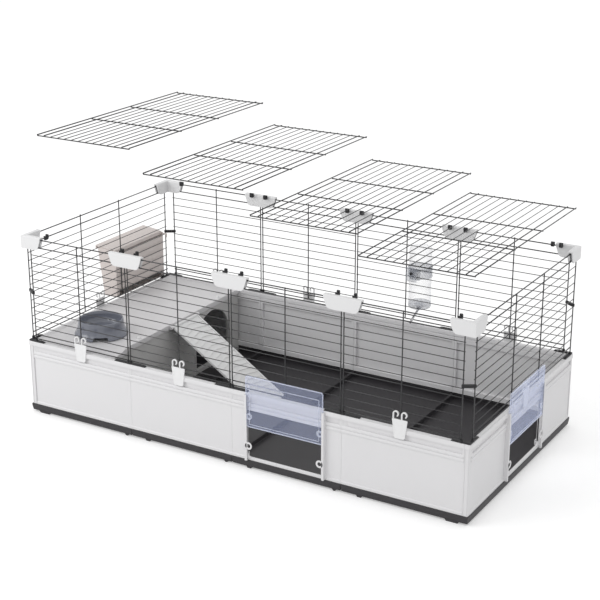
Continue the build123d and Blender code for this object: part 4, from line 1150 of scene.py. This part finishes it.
# Hay rack: a taupe moulded trough that hooks over a wire of the left end from outside, with a slot for
# the hay on the cage side and a hinged lid.
RACK_BACK = 711.0
RACK_REACH = 790.0
RACK_FRONT_Y = 72.0
RACK_REAR_Y = 328.0
RACK_TOP = 380.0
RACK_RISE = 8.0
RACK_FOOT = 765.0
RACK_HEAD = 786.0
RACK_SKIN = 3.0
RACK_LOW = 227.0
PIVOT_X = 720.0
PIVOT_Z = 375.0
HANGER_LOW = 373.2
HANGER_TIP = 694.0
SLOT_MARGIN = 14.0
SLOT_LOW = RACK_LOW + 7
SLOT_HIGH = RACK_LOW + 22
LIP_CUT = 371.0
LIP_LOW = 372.2
RACK_SLOPE = RACK_RISE / (RACK_HEAD - RACK_BACK)
rack_plastic = moulded("taupe_rack_plastic", (0.62, 0.56, 0.535), 0.42, grain=1.0, drift=0.02)


def rack_ring(wall_in, z, sloping=False):
    """Plan of the trough at a height, drawn in by a wall's thickness and rounded on its outer side."""
    share = (z - RACK_LOW) / (RACK_TOP - RACK_LOW)
    far = RACK_FOOT + (RACK_HEAD - RACK_FOOT) * share - wall_in
    near = RACK_BACK + wall_in
    low = RACK_FRONT_Y + wall_in
    high = RACK_REAR_Y - wall_in
    radius = 8 - wall_in
    plan = [(near, low)] + arc((far - radius, low + radius), radius, -90, 0, 5)
    plan += arc((far - radius, high - radius), radius, 0, 90, 5) + [(near, high)]
    slope = RACK_SLOPE if sloping else 0
    return [at(-u, y, z + slope * (u - RACK_BACK)) for u, y in plan]


def rack_run(bm, start, end, outline):
    skin(bm, [[at(-u, y, z) for u, z in outline] for y in (start, end)])


bm = bmesh.new()
skin(bm, (
    rack_ring(2, RACK_LOW), rack_ring(0, RACK_LOW + 2), rack_ring(0, RACK_TOP, True),
    rack_ring(RACK_SKIN, RACK_TOP, True), rack_ring(RACK_SKIN, RACK_LOW + RACK_SKIN),
))
rack = settle("hay_trough", bm, "cage", rack_plastic, ["hay_rack"], 0)
for low_z, high_z, margin in ((SLOT_LOW, SLOT_HIGH, SLOT_MARGIN), (LIP_CUT, RACK_TOP + 12, RACK_SKIN)):
    opening = rectangle(RACK_BACK - 5, RACK_BACK + RACK_SKIN + 0.5, low_z, high_z)
    carve(rack, [[at(-u, y, z) for u, z in opening] for y in (RACK_FRONT_Y + margin, RACK_REAR_Y - margin)])
soften(rack, 0.6, 2)
bm = bmesh.new()
for start in (RACK_FRONT_Y, RACK_REAR_Y - RACK_SKIN):
    rack_run(bm, start, start + RACK_SKIN, (
        (RACK_BACK + 1, HANGER_LOW), (HANGER_TIP + 3, HANGER_LOW), (HANGER_TIP + 3, HANGER_LOW - 9),
        (HANGER_TIP, HANGER_LOW - 9), (HANGER_TIP, HANGER_LOW + 3), (HANGER_TIP + 2, HANGER_LOW + 4),
        (RACK_BACK + 1, HANGER_LOW + 4),
    ))
settle("trough_hangers", bm, "cage", rack_plastic, [], 0.4)
LID_THICK = 3.0
lid_start = PIVOT_X - 2
lid_z = RACK_TOP + RACK_SLOPE * (lid_start - RACK_BACK) + 0.6


def lid_line(start, end):
    """Section of the lid between two distances out from the cage, with its lip at the far end."""
    def under(u):
        return lid_z + RACK_SLOPE * (u - lid_start)
    line = [(start, under(start))]
    if end == RACK_REACH:
        line += [(end - 3, under(end - 3)), (end - 3, lid_z - 1), (end, lid_z - 1)]
    else:
        line.append((end, under(end)))
    return line + [(end, under(end) + LID_THICK), (start, under(start) + LID_THICK)]


bm = bmesh.new()
rack_run(bm, RACK_FRONT_Y, RACK_REAR_Y, lid_line(lid_start + 9, RACK_REACH))
inner_ends = (RACK_FRONT_Y + RACK_SKIN + 0.3, RACK_REAR_Y - RACK_SKIN - 0.3)
rack_run(bm, *inner_ends, lid_line(lid_start, lid_start + 10))
lip_line = (
    (lid_start + 0.5, lid_z + LID_THICK), (PIVOT_X - 3.4, lid_z + 2.6), (PIVOT_X - 4.6, lid_z + 1.2),
    (PIVOT_X - 5, lid_z - 0.8), (PIVOT_X - 5, LIP_LOW), (PIVOT_X - 3.4, LIP_LOW),
    (PIVOT_X - 3.4, lid_z - 0.4), (lid_start + 0.5, lid_z),
)
rack_run(bm, *inner_ends, lip_line)
for start, end in ((inner_ends[0], inner_ends[0] + 3), (inner_ends[1] - 3, inner_ends[1])):
    ear = [(PIVOT_X + 2.6, lid_z + 1), (PIVOT_X - 2, lid_z + 1)] + arc((PIVOT_X, PIVOT_Z), 3, 180, 360, 8)
    rack_run(bm, start, end, ear)
settle("trough_lid", bm, "hay_rack_lid", rack_plastic, ["hay_rack_lid"], 0.6)

# Camera: at the photograph's angle, with a long lens, from the front right and a little above. Its place
# and its aim follow from the lines of the wire grid in the picture.
CAMERA = (2015.6, -3410.3, 1789.0)
AIM = (-0.4777, 0.8113, -0.3369)
FOCAL_PIXELS = 1458.15
PICTURE_PIXELS = 600
SENSOR = 36.0


def aimed(thing, place, way):
    """Puts an object at a place and turns it to look along a way."""
    thing.location = place
    thing.rotation_euler = way.to_track_quat("-Z", "Y").to_euler()


camera_data = bpy.data.cameras.new("camera")
camera_data.sensor_width = SENSOR
camera_data.sensor_fit = "HORIZONTAL"
camera_data.lens = FOCAL_PIXELS / PICTURE_PIXELS * SENSOR
camera_data.clip_end = 50
camera = linked("camera", camera_data)
aimed(camera, at(*CAMERA), Vector(AIM))
bpy.context.scene.camera = camera

# Studio: a white floor that fades into a white surround, lit by a soft sky, a large panel and a small one,
# both from the front left.
FLOOR_HALF = 30.0
bm = bmesh.new()
corners = rectangle(-FLOOR_HALF, FLOOR_HALF, -FLOOR_HALF, FLOOR_HALF)
bm.faces.new([bm.verts.new((x, y, 0)) for x, y in corners])
floor_mesh = bpy.data.meshes.new("studio_floor")
bm.to_mesh(floor_mesh)
bm.free()
studio_floor = linked("studio_floor", floor_mesh)


def seen_directly(tree):
    """One for rays from the camera, a reflection or a clear sheet, and nought for the others."""
    path = tree.nodes.new("ShaderNodeLightPath")
    seen = path.outputs["Is Camera Ray"]
    for ray in ("Is Glossy Ray", "Is Transmission Ray"):
        either = tree.nodes.new("ShaderNodeMath")
        either.operation = "MAXIMUM"
        tree.links.new(seen, either.inputs[0])
        tree.links.new(path.outputs[ray], either.inputs[1])
        seen = either.outputs["Value"]
    return seen


floor_material, tree, shader = new_material("studio_white")
shader.inputs["Base Color"].default_value = (0.85, 0.85, 0.85, 1)
shader.inputs["Roughness"].default_value = 0.9
shader.inputs["Emission Color"].default_value = (1, 1, 1, 1)
spread(tree, seen_directly(tree), 0.0, 0.27, shader.inputs["Emission Strength"])
floor_mesh.materials.append(floor_material)

world = bpy.data.worlds.new("studio_sky")
world.use_nodes = True
bpy.context.scene.world = world
sky = world.node_tree.nodes["Background"]
sky.inputs["Color"].default_value = (1, 1, 1, 1)
spread(world.node_tree, seen_directly(world.node_tree), 0.9, 1.0, sky.inputs["Strength"])


def panel_light(name, place, target, size, power):
    data = bpy.data.lights.new(name, "AREA")
    data.shape = "SQUARE"
    data.size = size
    data.energy = power
    aimed(linked(name, data), place, Vector(target) - Vector(place))


panel_light("key_panel", place=(-3.0, -2.6, 2.3), target=(-0.1, 0, 0.2), size=2.0, power=36)
panel_light("small_panel", place=(-1.0, -2.4, 2.0), target=(-0.3, 0, 0.2), size=0.2, power=6)
bpy.context.scene.view_settings.view_transform = "Standard"
